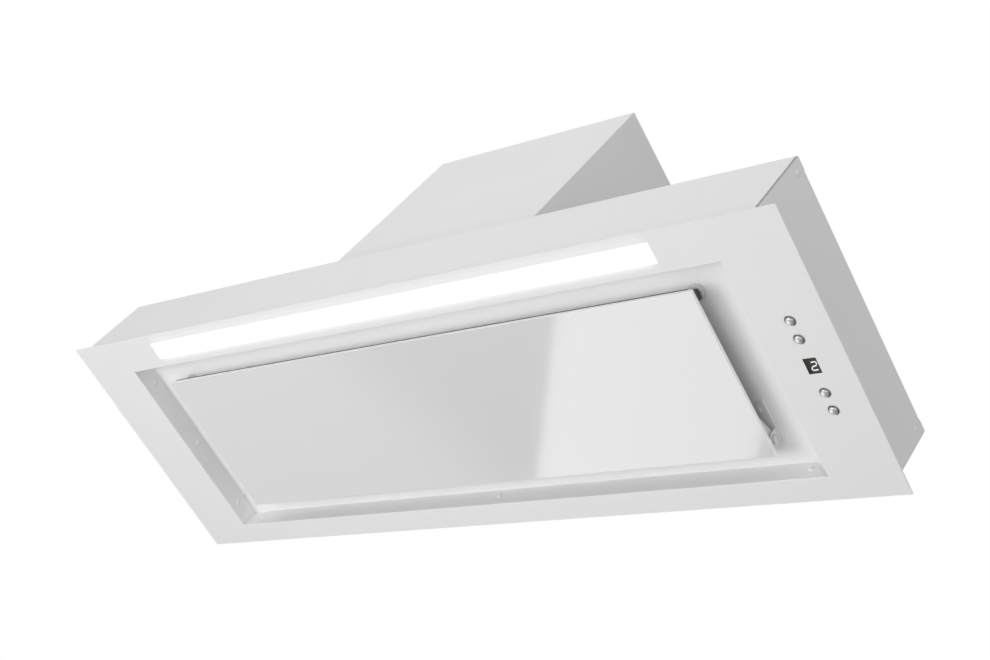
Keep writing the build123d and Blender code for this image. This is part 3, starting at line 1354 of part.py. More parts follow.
# LED driver on the left of the filter bays
driver_x = -(OPENING_WIDTH / 2 - DRIVER_WIDTH / 2 - FACE_SHEET)
with BuildPart() as led_driver:
    with Locations((driver_x, glass_y, tray_top)):
        Box(DRIVER_WIDTH, DRIVER_LENGTH, DRIVER_HEIGHT, align=(Align.CENTER, Align.CENTER, Align.MIN))
    fillet(led_driver.edges().group_by(Axis.Z)[-1], DRIVER_EAR_THICKNESS)
    with Locations((driver_x, glass_y, tray_top)):
        Box(
            DRIVER_WIDTH / 2,
            DRIVER_LENGTH + 2 * DRIVER_EAR,
            DRIVER_EAR_THICKNESS,
            align=(Align.CENTER, Align.CENTER, Align.MIN),
        )
led_driver.part.label = "led_driver"

# Run capacitor in its clip, and the terminal box, on the right of the filter bays
service_x = OPENING_WIDTH / 2 - TERMINAL_WIDTH / 2 - FACE_SHEET
capacitor_y = opening_front + CAPACITOR_LENGTH / 2 + RIVET_INSET_Y
capacitor_z = tray_top + CLIP_WALL + CAPACITOR_RADIUS
with BuildPart() as run_capacitor:
    with Locations(at(service_x, capacitor_y, capacitor_z, (0, 1, 0))):
        Cylinder(CAPACITOR_RADIUS, CAPACITOR_LENGTH)
run_capacitor.part.label = "run_capacitor"

with BuildPart() as capacitor_clip:
    with BuildSketch(Plane.XZ.offset(-capacitor_y)):
        with Locations((service_x, capacitor_z)):
            Circle(CAPACITOR_RADIUS + CLIP_WALL)
        with Locations((service_x, tray_top)):
            Rectangle(
                2 * CAPACITOR_RADIUS,
                CLIP_WALL + CAPACITOR_RADIUS / 4,
                align=(Align.CENTER, Align.MIN),
            )
        with Locations((service_x, capacitor_z)):
            Circle(CAPACITOR_RADIUS, mode=Mode.SUBTRACT)
            Rectangle(
                CAPACITOR_RADIUS,
                2 * CAPACITOR_RADIUS,
                align=(Align.CENTER, Align.MIN),
                mode=Mode.SUBTRACT,
            )
    extrude(amount=CAPACITOR_RADIUS / 2, both=True)
capacitor_clip.part.label = "capacitor_clip"

terminal_y = opening_back - TERMINAL_LENGTH / 2 - FACE_SHEET
with BuildPart() as terminal_box:
    with Locations((service_x, terminal_y, tray_top)):
        Box(
            TERMINAL_WIDTH,
            TERMINAL_LENGTH,
            TERMINAL_HEIGHT,
            align=(Align.CENTER, Align.CENTER, Align.MIN),
        )
    fillet(terminal_box.edges().filter_by(Axis.Z), TERMINAL_WALL)
    lid_edges = terminal_box.edges().group_by(Axis.Z)[-1]
    chamfer(lid_edges, TERMINAL_WALL / 2)
terminal_box.part.label = "terminal_box"

# Supply gland through the back of the casing
with BuildPart() as supply_gland:
    with Locations(at(gland_x, case_back, GLAND_HEIGHT, (0, 1, 0))):
        Cylinder(GLAND_RADIUS, GLAND_OUTSIDE, align=(Align.CENTER, Align.CENTER, Align.MIN))
        Cylinder(
            GLAND_RADIUS,
            GLAND_INSIDE,
            align=(Align.CENTER, Align.CENTER, Align.MAX),
        )
        Cylinder(
            GLAND_NUT_RADIUS,
            GLAND_NUT_THICKNESS,
            align=(Align.CENTER, Align.CENTER, Align.MIN),
        )
        Cylinder(
            GLAND_BORE_RADIUS,
            2 * (GLAND_OUTSIDE + GLAND_INSIDE),
            mode=Mode.SUBTRACT,
        )
    with BuildSketch(Plane(origin=(gland_x, case_back - CASE_SHEET, GLAND_HEIGHT), z_dir=(0, -1, 0))):
        RegularPolygon(GLAND_NUT_RADIUS, 6)
        Circle(GLAND_RADIUS, mode=Mode.SUBTRACT)
    extrude(amount=GLAND_NUT_THICKNESS)
supply_gland.part.label = "supply_gland"

pieces = [
    face_panel,
    suction_tray,
    recess_rivets,
    casing_wrap,
    casing_side_right,
    casing_side_left,
    casing_rivets,
    motor_box,
    motor_box_cover,
    motor_box_screws,
    light_channel,
    light_end_caps,
    light_diffuser,
    led_strip,
    glass_panel,
    panel_carrier,
    catch_studs,
    catch_sockets,
    hinge_arms,
    hinge_brackets,
    hinge_pins,
    *filter_frames,
    *filter_meshes,
    *filter_latches,
    button_bezels,
    *button_caps,
    switch_bodies,
    display_window,
    display_module,
    control_board,
    control_cover,
    scroll_right,
    scroll_left,
    transition_duct,
    impeller,
    fan_shaft,
    motor_rotor,
    impeller_nut,
    motor_can,
    motor_end_cap,
    motor_bushes,
    motor_bracket,
    motor_mounts,
    outlet_collar,
    collar_screws,
    flap_pin,
    *flaps,
    led_driver,
    run_capacitor,
    capacitor_clip,
    terminal_box,
    supply_gland,
]
os.makedirs("parts", exist_ok=True)
for piece in pieces:
    export_step(piece.part, f"parts/{piece.part.label}.step")
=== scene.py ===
import json
import math

import bmesh
import bpy
from mathutils import Matrix, Vector


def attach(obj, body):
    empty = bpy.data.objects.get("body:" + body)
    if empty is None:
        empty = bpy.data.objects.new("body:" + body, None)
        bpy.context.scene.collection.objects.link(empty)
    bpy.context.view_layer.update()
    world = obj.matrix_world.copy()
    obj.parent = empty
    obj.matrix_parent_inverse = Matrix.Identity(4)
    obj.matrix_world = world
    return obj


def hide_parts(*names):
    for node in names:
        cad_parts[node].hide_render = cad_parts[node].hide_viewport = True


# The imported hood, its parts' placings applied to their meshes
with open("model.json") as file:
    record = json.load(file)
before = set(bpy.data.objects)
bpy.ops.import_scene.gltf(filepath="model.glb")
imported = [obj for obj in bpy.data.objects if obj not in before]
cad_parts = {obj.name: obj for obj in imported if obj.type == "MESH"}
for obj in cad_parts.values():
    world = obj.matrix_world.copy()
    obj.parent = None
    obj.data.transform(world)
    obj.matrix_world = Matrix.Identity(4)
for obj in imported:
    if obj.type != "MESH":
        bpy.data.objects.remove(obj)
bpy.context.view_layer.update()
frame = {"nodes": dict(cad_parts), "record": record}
nodes = frame["nodes"]
MM = 0.001
SIDES = (-1, 1)
studio = bpy.context.scene
studio.view_settings.view_transform = "Standard"


def put(name, data):
    """A new object in the scene."""
    made = bpy.data.objects.new(name, data)
    studio.collection.objects.link(made)
    return made


# Camera, below the front right corner of the hood and looking up at it
CAMERA_PLACE = (969.01, -485.07, -793.21)
CAMERA_RIGHT = (0.78420557, 0.43073685, 0.44664012)
CAMERA_UP = (0.08708016, -0.78907898, 0.60808833)
CAMERA_BACK = (0.61436038, -0.43797276, -0.65630876)
CAMERA_LENS = 59.05
CAMERA_SENSOR = 36.0
CAMERA_SHIFT = (-0.1818, 0.1010)
CAMERA_NEAREST = 0.01
CAMERA_FURTHEST = 50.0

lens = bpy.data.cameras.new("camera")
lens.lens = CAMERA_LENS
lens.sensor_width = CAMERA_SENSOR
lens.shift_x, lens.shift_y = CAMERA_SHIFT
lens.clip_start = CAMERA_NEAREST
lens.clip_end = CAMERA_FURTHEST
camera = put("camera", lens)
turn = Matrix((CAMERA_RIGHT, CAMERA_UP, CAMERA_BACK)).transposed().to_4x4()
camera.matrix_world = Matrix.Translation(Vector(CAMERA_PLACE) * MM) @ turn
studio.camera = camera


def fill(socket, value):
    """Links a wire to a socket, or writes a plain value into it."""
    if isinstance(value, Wire):
        value.tree.links.new(value.socket, socket)
    else:
        socket.default_value = value


class Wire:
    """A node's output, which stands in an expression as a number does."""

    def __init__(self, tree, socket=None):
        self.tree = tree
        self.socket = socket

    def node(self, kind, output=0, settings=None, **sockets):
        """A node of that kind. i0, i1 and so on name its sockets by their number."""
        made = self.tree.nodes.new(kind)
        for name, value in (settings or {}).items():
            setattr(made, name, value)
        for name, value in sockets.items():
            key = int(name[1:]) if name[1:].isdigit() else name.replace("_", " ")
            fill(made.inputs[key], value)
        return Wire(self.tree, made.outputs[output] if made.outputs else None)

    def maths(self, operation, first, second=0.0):
        settings = {"operation": operation}
        return self.node("ShaderNodeMath", settings=settings, i0=first, i1=second)

    def __add__(self, other):
        return self.maths("ADD", self, other)

    __radd__ = __add__

    def __sub__(self, other):
        return self.maths("SUBTRACT", self, other)

    def __rsub__(self, other):
        return self.maths("SUBTRACT", other, self)

    def __mul__(self, other):
        return self.maths("MULTIPLY", self, other)

    __rmul__ = __mul__

    def __gt__(self, other):
        return self.maths("GREATER_THAN", self, other)

    def __lt__(self, other):
        return self.maths("LESS_THAN", self, other)

    def size(self):
        """The number without its sign."""
        return self.maths("ABSOLUTE", self)

    def part(self, axis):
        """One part of a vector, 0, 1 or 2."""
        return self.node("ShaderNodeSeparateXYZ", output=axis, i0=self)

    def vector(self, operation, output=0, **sockets):
        """A vector sum with this vector first."""
        settings = {"operation": operation}
        return self.node("ShaderNodeVectorMath", output, settings, i0=self, **sockets)

    def eased(self, low, high):
        """0 below low, 1 above high and a smooth rise between them."""
        settings = {"interpolation_type": "SMOOTHSTEP"}
        return self.node(
            "ShaderNodeMapRange", settings=settings, i0=self, i1=low, i2=high, i3=0.0, i4=1.0
        )

    def between(self, low, high):
        """A number that is low at 0 and high at 1."""
        return low + (high - low) * self

    def blend(self, first, second):
        """A colour that is first at 0 and second at 1."""
        settings = {"data_type": "RGBA"}
        return self.node("ShaderNodeMix", 2, settings, i0=self, i6=first, i7=second)

    def brightness(self):
        """A colour's own brightness."""
        return self.node("ShaderNodeRGBToBW", i0=self)


def grey(level, tint=(1.0, 1.0, 1.0)):
    """A near neutral colour with its alpha."""
    return tuple(level * t for t in tint) + (1.0,)


BLACK, WHITE = grey(0.0), grey(1.0)


# The room: white to the camera, grey to the surfaces it lights
ROOM_LEVEL = 0.275
GLOSS_LEVEL = 0.5
sky = bpy.data.worlds.new("studio")
sky.use_nodes = True
studio.world = sky
sky.node_tree.nodes.clear()
room = Wire(sky.node_tree)
seen = room.node("ShaderNodeLightPath", output="Is Camera Ray")
mirrored = room.node("ShaderNodeLightPath", output="Is Glossy Ray")
unseen_level = ROOM_LEVEL + mirrored * (GLOSS_LEVEL - ROOM_LEVEL)
backdrop = room.node("ShaderNodeBackground", i0=WHITE, i1=seen + (1 - seen) * unseen_level)
room.node("ShaderNodeOutputWorld", i0=backdrop)

# Soft lamps that face the hood: direction, distance and size in metres, power in watts
LAMPS = (
    ("front_lamp", (0.0, -0.9, 0.45), 1.35, 1.0, 6.7),
    ("right_lamp", (0.95, -0.25, -0.07), 2.2, 1.6, 11.7),
    ("low_right_lamp", (0.3, -0.3, -0.9), 1.55, 1.0, 4.1),
    ("low_left_lamp", (-0.3, -0.5, -0.85), 1.55, 0.9, 10.5),
    ("rear_lamp", (-0.45, 0.8, 0.5), 2.4, 1.6, 16.0),
)

# Soft box low behind the hood on the left, which the glass reflects
BOX_PLACE = (-1.119, 0.927, -1.4)
BOX_TURN = 127.6
BOX_SIZE = (1.3, 0.48)
BOX_POWER = 6.4


def soft_lamp(name, width, height, power):
    """A soft rectangular lamp that the camera doesn't see."""
    data = bpy.data.lights.new(name, "AREA")
    data.shape = "RECTANGLE"
    data.size, data.size_y = width, height
    data.energy = power
    lamp = put(name, data)
    lamp.visible_camera = False
    return lamp


for name, direction, distance, size, power in LAMPS:
    lamp = soft_lamp(name, size, size, power)
    lamp.location = Vector(direction).normalized() * distance
    lamp.rotation_mode = "QUATERNION"
    lamp.rotation_quaternion = (-lamp.location).to_track_quat("-Z", "Y")

soft_box = soft_lamp("soft_box", *BOX_SIZE, BOX_POWER)
soft_box.visible_diffuse = False
soft_box.matrix_world = (
    Matrix.Translation(BOX_PLACE)
    @ Matrix.Rotation(math.radians(BOX_TURN), 4, "Z")
    @ Matrix.Rotation(math.pi, 4, "X")
)

# Floor, far below the hood as in a kitchen
FLOOR_HEIGHT = -1.65
FLOOR_HALF = 6.0
floor_corners = [
    (x * FLOOR_HALF, y * FLOOR_HALF, FLOOR_HEIGHT) for x, y in ((-1, -1), (1, -1), (1, 1), (-1, 1))
]
floor_mesh = bpy.data.meshes.new("floor")
floor_mesh.from_pydata(floor_corners, [], [(0, 1, 2, 3)])
floor = put("floor", floor_mesh)

finishes = {}


class Finish:
    """A material with one shader and the object's own coordinates in millimetres."""

    def __init__(self, name, **sockets):
        finishes[name] = self
        self.material = bpy.data.materials.new(name)
        self.material.use_nodes = True
        tree = self.material.node_tree
        tree.nodes.clear()
        self.wire = Wire(tree)
        self.shader = tree.nodes.new("ShaderNodeBsdfPrincipled")
        output = tree.nodes.new("ShaderNodeOutputMaterial")
        tree.links.new(self.shader.outputs[0], output.inputs[0])
        metres = self.wire.node("ShaderNodeTexCoord", output="Object")
        self.place = metres.vector("SCALE", Scale=1.0 / MM)
        self.set(**sockets)

    def set(self, **sockets):
        """Fills or links the shader's sockets."""
        for name, value in sockets.items():
            fill(self.shader.inputs[name.replace("_", " ")], value)
        return self

    def noise(self, scale, detail=2.0, stretch=None):
        """Soft noise of a scale given in cycles per millimetre."""
        place = self.place.vector("MULTIPLY", i1=stretch) if stretch else self.place
        return self.wire.node("ShaderNodeTexNoise", Vector=place, Scale=scale, Detail=detail)

    def bumped(self, height, strength, depth):
        """Raises the surface by height times a depth in millimetres."""
        raised = self.wire.node(
            "ShaderNodeBump", Strength=strength, Distance=depth * MM, Height=height
        )
        return self.set(Normal=raised)


PAINT_LEVEL = 0.87
PAINT_ROUGHNESS = 0.56
PAINT_GLOSS = 0.3


def powder_coat(name, level=PAINT_LEVEL, roughness=PAINT_ROUGHNESS):
    """Satin white powder coat, with its fine orange peel."""
    coat = Finish(name, Specular_IOR_Level=PAINT_GLOSS)
    peel = coat.noise(0.9)
    cloud = coat.noise(0.012, detail=3.0)
    coat.colour = cloud.blend(grey(level * 0.985), grey(level * 1.015))
    coat.set(Base_Color=coat.colour, Roughness=peel.between(roughness - 0.04, roughness + 0.04))
    return coat.bumped(peel, strength=0.25, depth=0.02)


powder_coat("white_paint")
powder_coat("carrier_steel", level=0.84, roughness=0.6)

# Painted light: the flange's paint glows by emission beside the light bar, a painted spill of the
# bar's light across the flange
OPENING_FRONT, OPENING_BACK = -110.2, -94.6
GLOW_FRONT = (-124.0, -109.7)
GLOW_BACK = (-96.1, -86.0)
GLOW_ENDS = (278.0, 290.0)
GLOW_LEVEL = 0.23
GLOW_FRONT_SHARE = 0.4
lit = powder_coat("painted_glow_paint")
along, across = lit.place.part(0).size(), lit.place.part(1)
near_back = 1 - across.eased(*GLOW_BACK)
back_glow = near_back * near_back * (across > OPENING_BACK)
front_glow = across.eased(*GLOW_FRONT) * (across < OPENING_FRONT) * GLOW_FRONT_SHARE
glow = (back_glow + front_glow) * (1 - along.eased(*GLOW_ENDS))
# painted glow: emission in the flange's paint, which is no lamp
lit.set(Emission_Color=glow.blend(BLACK, WHITE), Emission_Strength=GLOW_LEVEL)

# Painted shade along the casing's corner seams: the paint is darker there, standing in for the
# shadow in the gap between its sheets
SEAM_X = 379.1
SEAM_Y = 116.9
SEAM_SHADE_LEVEL = 0.55
seam_shaded_coat = powder_coat("casing_seam_shade_paint")
seam_shade = (seam_shaded_coat.place.part(0).size() > SEAM_X) * (seam_shaded_coat.place.part(1).size() > SEAM_Y)
# painted shade: darker base colour at the seams
seam_shaded_coat.set(Base_Color=seam_shade.blend(seam_shaded_coat.colour, grey(SEAM_SHADE_LEVEL)))

# Painted light: emission in the recess's paint stands for the light bar's spill along the front of
# its ceiling, and for a little bounced light all round
SPILL_LEVEL = 0.125
SPILL_SHARE = 0.75
SPILL_BOTTOM = 17.0
SPILL_BACK = (-66.0, -30.0)
SPILL_ENDS = (260.0, 320.0)
painted_spill_coat = powder_coat("recess_spill_light_paint", level=0.86)
spill = (1 - painted_spill_coat.place.part(1).eased(*SPILL_BACK)) * (painted_spill_coat.place.part(2) > SPILL_BOTTOM)
spill = spill * (1 - painted_spill_coat.place.part(0).size().eased(*SPILL_ENDS))
# painted light: the recess's paint glows, though it is no lamp
painted_spill_coat.set(
    Emission_Color=spill.between(1 - SPILL_SHARE, 1.0).blend(BLACK, WHITE),
    Emission_Strength=SPILL_LEVEL,
)

# Metals
zinc = Finish("zinc_steel", Metallic=0.6)
spangle = zinc.wire.node("ShaderNodeTexVoronoi", output=1, Vector=zinc.place, Scale=0.35)
tone = spangle.brightness()
zinc.set(
    Base_Color=tone.blend(grey(0.66), grey(0.78, (0.98, 1.0, 1.02))),
    Roughness=tone.between(0.36, 0.48),
).bumped(zinc.noise(1.4), strength=0.2, depth=0.02)

rolled = Finish("aluminium", Metallic=1.0)
grain = rolled.noise(1.0, detail=3.0, stretch=(0.04, 2.5, 2.5))
rolled.set(
    Base_Color=grain.blend(grey(0.66), grey(0.80)), Roughness=grain.between(0.26, 0.42)
).bumped(grain, strength=0.2, depth=0.01)

chrome = Finish("polished_steel", Metallic=1.0)
scuff = chrome.noise(1.6, detail=4.0)
chrome.set(
    Base_Color=scuff.blend(grey(0.50), grey(0.58)), Roughness=scuff.between(0.3, 0.38)
).bumped(scuff, strength=0.08, depth=0.005)

sinter = Finish("bronze", Metallic=1.0)
pores = sinter.noise(2.5, detail=3.0)
sinter.set(
    Base_Color=pores.blend((0.33, 0.20, 0.09, 1.0), (0.55, 0.37, 0.18, 1.0)),
    Roughness=pores.between(0.4, 0.55),
).bumped(pores, strength=0.3, depth=0.02)


# Plastics
def moulded(name, colour, roughness, gloss=0.5):
    """Moulded plastic with a fine spark-eroded grain."""
    plastic = Finish(name, Specular_IOR_Level=gloss)
    grain = plastic.noise(2.2)
    mottle = plastic.noise(0.05)
    plastic.set(
        Base_Color=mottle.blend(grey(0.94, colour), grey(1.06, colour)),
        Roughness=grain.between(roughness - 0.05, roughness + 0.05),
    ).bumped(grain, strength=0.3, depth=0.02)


moulded("white_plastic", (0.78, 0.78, 0.77), 0.42)
moulded("black_plastic", (0.07, 0.07, 0.072), 0.5)
moulded("grey_plastic", (0.13, 0.135, 0.14), 0.55)
moulded("rubber", (0.02, 0.02, 0.02), 0.85, gloss=0.3)

opal = Finish("opal_plastic", Base_Color=grey(0.92), Roughness=0.35)
opal.set(Emission_Color=WHITE, Emission_Strength=0.6)
opal.bumped(opal.noise(0.6, detail=1.0), strength=0.1, depth=0.01)

board = Finish("circuit_board", Roughness=0.38)
trace = board.wire.node("ShaderNodeTexBrick", Vector=board.place, Scale=0.2).brightness()
board.set(
    Base_Color=trace.blend((0.02, 0.10, 0.05, 1.0), (0.04, 0.19, 0.09, 1.0))
).bumped(trace, strength=0.3, depth=0.03)

# Glass panel with a painted highlight: its edges glow by emission, standing in for ground edges
# that catch the light
GLASS_TINT = (1.0, 1.002, 1.0)
GLASS_SIDE = 301.0
GLASS_FRONT = -67.3
RIM_GLOW = 0.18
SIDE_SHARE = 0.92
glass = Finish("white_glass", Roughness=0.06, IOR=1.52)
shade = glass.noise(0.004)
side = glass.place.part(0).size() > GLASS_SIDE
rim_highlight = SIDE_SHARE * side + (glass.place.part(1) < GLASS_FRONT)
glass.set(
    Base_Color=shade.blend(grey(0.725, GLASS_TINT), grey(0.735, GLASS_TINT)),
    # painted highlight: the glass's edges glow
    Emission_Color=rim_highlight.blend(BLACK, WHITE),
    Emission_Strength=RIM_GLOW,
)

# Display window, painted paler on the right as painted light from the figure scattered in it, with
# a random tone, and its figure
WINDOW_PALER = (363.0, 369.0)
FIGURE_TINT = (0.98, 1.0, 0.86)
smoked = Finish("smoked_window", Roughness=0.08, IOR=1.49)
painted_scatter = smoked.place.part(0).eased(*WINDOW_PALER) * smoked.noise(0.5).between(0.7, 1.3)
# painted light: base colour paler towards the figure
smoked.set(Base_Color=painted_scatter.blend(grey(0.006, (0.95, 1.05, 0.9)), grey(0.05, (0.97, 1.05, 0.82))))

digit = Finish("lit_digit", Base_Color=grey(0.6), Roughness=0.4, Emission_Strength=1.0)
digit.set(Emission_Color=digit.noise(1.5).blend(grey(0.36, FIGURE_TINT), grey(0.44, FIGURE_TINT)))

# Floor: white to the camera but for the hood's shadow, and in reflections brighter far to the left
FLOOR_LIFT = 0.8
FLOOR_SHEEN = 0.9
SHEEN_DIRECTION = (-1.0, 0.6, 0.0)
SHEEN_REACH = (2450.0, 2900.0)
pale = Finish("pale_floor", Roughness=0.9)
seen = pale.wire.node("ShaderNodeLightPath", output="Is Camera Ray")
mirrored = pale.wire.node("ShaderNodeLightPath", output="Is Glossy Ray")
far_left = pale.place.vector("DOT_PRODUCT", output=1, i1=SHEEN_DIRECTION).eased(*SHEEN_REACH)
pale.set(
    Base_Color=pale.noise(0.002).blend(grey(0.84), grey(0.88)),
    Emission_Color=WHITE,
    Emission_Strength=seen * FLOOR_LIFT + mirrored * far_left * FLOOR_SHEEN,
)


def dress(piece, finish):
    """Gives every slot of a piece one finish."""
    piece.data.materials.clear()
    piece.data.materials.append(finishes[finish].material)


dress(floor, "pale_floor")
slot_of = {row["node"]: row["material_slot"] for row in frame["record"]["subparts"]}
# Own paints that carry painted light and shade: a glow beside the light bar, shade along the
# casing's seams and light spill in the recess
OWN_PAINT = {
    "face_panel": "painted_glow_paint",
    "suction_tray": "recess_spill_light_paint",
    "casing_wrap": "casing_seam_shade_paint",
    "casing_side_left": "casing_seam_shade_paint",
    "casing_side_right": "casing_seam_shade_paint",
}
for name, node in nodes.items():
    dress(node, OWN_PAINT.get(name, slot_of[name]))


def at(x, y, z, direction=(0.0, 0.0, 1.0)):
    """A place in millimetres whose own z axis points along direction."""
    turned = Vector((0.0, 0.0, 1.0)).rotation_difference(Vector(direction))
    return Matrix.Translation((x, y, z)) @ turned.to_matrix().to_4x4()


def rectangle(half, low, high):
    """The outline of a rectangle."""
    return [(-half, low), (half, low), (half, high), (-half, high)]


SHARP_EDGE = math.radians(30.0)
SHARP_SHADING = math.radians(32.0)


class Draft:
    """A mesh in the making, in millimetres."""

    def __init__(self):
        self.mesh = bmesh.new()

    def turned(self, outline, place=Matrix(), sides=32, closed=False):
        """An outline of (radius, height) points turned about the place's own axis."""
        rings = []
        for radius, height in outline:
            turns = [2 * math.pi * i / sides for i in range(sides if radius else 1)]
            points = [(radius * math.cos(t), radius * math.sin(t), height) for t in turns]
            rings.append([self.mesh.verts.new(place @ Vector(point)) for point in points])
        for low, high in zip(rings, rings[1:] + (rings[:1] if closed else [])):
            for i in range(sides):
                corners = (
                    low[i % len(low)],
                    low[(i + 1) % len(low)],
                    high[(i + 1) % len(high)],
                    high[i % len(high)],
                )
                self.mesh.faces.new(dict.fromkeys(corners))
        return self

    def bar(self, start, end):
        """A solid from one loop of points to another."""
        ends = [[self.mesh.verts.new(point) for point in loop] for loop in (start, end)]
        for loop in ends:
            self.mesh.faces.new(loop)
        count = len(start)
        for i in range(count):
            j = (i + 1) % count
            self.mesh.faces.new((ends[0][i], ends[0][j], ends[1][j], ends[1][i]))
        return self

    def prism(self, outline, bottom, top, place=Matrix()):
        """An outline of (x, y) points drawn out from bottom to top."""
        return self.bar(*([place @ Vector((x, y, z)) for x, y in outline] for z in (bottom, top)))

    def eased_edges(self, width):
        """Rounds every sharp edge."""
        bmesh.ops.recalc_face_normals(self.mesh, faces=self.mesh.faces)
        sharp = [e for e in self.mesh.edges if e.calc_face_angle(0.0) > SHARP_EDGE]
        bmesh.ops.bevel(
            self.mesh,
            geom=sharp,
            offset=width,
            segments=2,
            profile=0.5,
            affect="EDGES",
            clamp_overlap=True,
        )
        return self

    def data(self, name):
        """The finished mesh, in metres and smooth but for its corners."""
        bmesh.ops.recalc_face_normals(self.mesh, faces=self.mesh.faces)
        made = bpy.data.meshes.new(name)
        self.mesh.to_mesh(made)
        self.mesh.free()
        made.transform(Matrix.Scale(MM, 4))
        made.shade_smooth()
        made.set_sharp_from_angle(angle=SHARP_SHADING)
        return made

    def piece(self, name, finish, slot, body, *replaced):
        """The finished mesh as a piece that rides on a body."""
        return settle(put(name, self.data(name)), finish, slot, body, *replaced)


def settle(made, finish, slot, body, *replaced):
    """Gives a piece its finish and body, and the nodes it stands for. The slot is not used."""
    dress(made, finish)
    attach(made, body)
    if replaced:
        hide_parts(*replaced)
    return made


def shaped(made):
    """The mesh that an object's modifiers make of it."""
    bpy.context.view_layer.update()
    depsgraph = bpy.context.evaluated_depsgraph_get()
    return bpy.data.meshes.new_from_object(made.evaluated_get(depsgraph))


def repeat_tree():
    """Geometry nodes that put a pattern at each place, turned as the place says."""
    tree = bpy.data.node_groups.new("repeat", "GeometryNodeTree")
    sockets = {}
    for title, kind in (
        ("Places", "NodeSocketGeometry"),
        ("Pattern", "NodeSocketObject"),
        ("Size", "NodeSocketFloat"),
        ("Finish", "NodeSocketMaterial"),
    ):
        socket = tree.interface.new_socket(name=title, in_out="INPUT", socket_type=kind)
        sockets[title] = socket.identifier
    tree.interface.new_socket(
        name="Geometry", in_out="OUTPUT", socket_type="NodeSocketGeometry"
    )
    base = Wire(tree)
    start = tree.nodes.new("NodeGroupInput")
    given = {socket.name: Wire(tree, socket) for socket in start.outputs if socket.name}
    settings = {"data_type": "FLOAT_VECTOR"}
    turn = base.node("GeometryNodeInputNamedAttribute", settings=settings, Name="turn")
    pattern = base.node("GeometryNodeObjectInfo", output="Geometry", Object=given["Pattern"])
    copies = base.node(
        "GeometryNodeInstanceOnPoints",
        Points=given["Places"],
        Instance=pattern,
        Rotation=turn,
        Scale=given["Size"],
    )
    solid = base.node("GeometryNodeRealizeInstances", i0=copies)
    painted = base.node("GeometryNodeSetMaterial", Geometry=solid, Material=given["Finish"])
    base.node("NodeGroupOutput", i0=painted)
    return tree, sockets


repeat, repeat_sockets = repeat_tree()


def repeated(name, pattern, places, finish, slot, body, *replaced):
    """A piece made of one pattern at each of several places."""
    points = bpy.data.meshes.new(name)
    points.from_pydata([place.translation * MM for place in places], [], [])
    turns = points.attributes.new("turn", "FLOAT_VECTOR", "POINT")
    for row, place in zip(turns.data, places):
        row.vector = place.to_euler()
    made = put(name, points)
    master = bpy.data.objects.new(name + "_pattern", pattern)
    spread = made.modifiers.new("repeat", "NODES")
    spread.node_group = repeat
    inputs = (("Pattern", master), ("Size", 1.0), ("Finish", finishes[finish].material))
    for title, value in inputs:
        spread[repeat_sockets[title]] = value
    solid = shaped(made)
    made.modifiers.clear()
    made.data = solid
    solid.name = name
    bpy.data.objects.remove(master)
    return settle(made, finish, slot, body, *replaced)


# Blind rivets: a domed head with the mandrel's stub in its middle, and the set tail behind the
# sheets. The tail's points are (radius, how far past the sheets).
HEAD_DOME = [
    (0.0, 0.78), (0.35, 0.74), (0.5, 0.6), (0.62, 0.52), (0.8, 0.55), (0.95, 1.02), (1.25, 1.1),
    (1.75, 1.02), (2.25, 0.75), (2.6, 0.35), (2.7, 0.05), (2.7, 0.0), (1.6, 0.0),
]
SET_TAIL = [(1.6, 0.0), (1.72, 0.5), (1.5, 1.3), (0.9, 1.9), (0.0, 2.0)]
RIVET_SIDES = 20
RECESS_GRIP = 1.9
CASING_GRIP = 1.6


def rivet(grip):
    """A blind rivet through sheets as thick as grip, in millimetres."""
    tail = [(radius, -grip - past) for radius, past in SET_TAIL]
    return Draft().turned(HEAD_DOME + tail, sides=RIVET_SIDES).data("rivet")


# Rivets of the recess's walls, given by the wall's face and the way it looks, and of its feet
WALL_RIVET_Z = 10.4
LONG_WALLS = ((-85.8, 1), (98.2, -1))
LONG_WALL_RIVETS = (-318.0, 0.0, 318.0)
END_WALL_X = 337.0
END_WALL_RIVETS = (-64.8, 6.2, 77.2)
FOOT_RIVET = (292.7, 46.4, 17.5)
recess_places = [
    at(x, y, WALL_RIVET_Z, (0, facing, 0)) for y, facing in LONG_WALLS for x in LONG_WALL_RIVETS
]
recess_places += [
    at(side * END_WALL_X, y, WALL_RIVET_Z, (-side, 0, 0)) for side in SIDES for y in END_WALL_RIVETS
]
foot_x, foot_y, foot_z = FOOT_RIVET
recess_places += [at(side * foot_x, foot_y, foot_z, (0, 0, -1)) for side in SIDES]
repeated(
    "recess_rivet_heads", rivet(RECESS_GRIP), recess_places, "white_paint", "white_paint", "hood",
    "recess_rivets",
)

# Rivets of the casing's side walls
CASING_RIVET = (380.0, 108.4, 62.7)
casing_x, casing_y, casing_z = CASING_RIVET
casing_places = [
    at(side * casing_x, end * casing_y, casing_z, (side, 0, 0)) for end in SIDES for side in SIDES
]
repeated(
    "casing_rivet_heads", rivet(CASING_GRIP), casing_places, "white_paint", "white_paint", "hood",
    "casing_rivets",
)

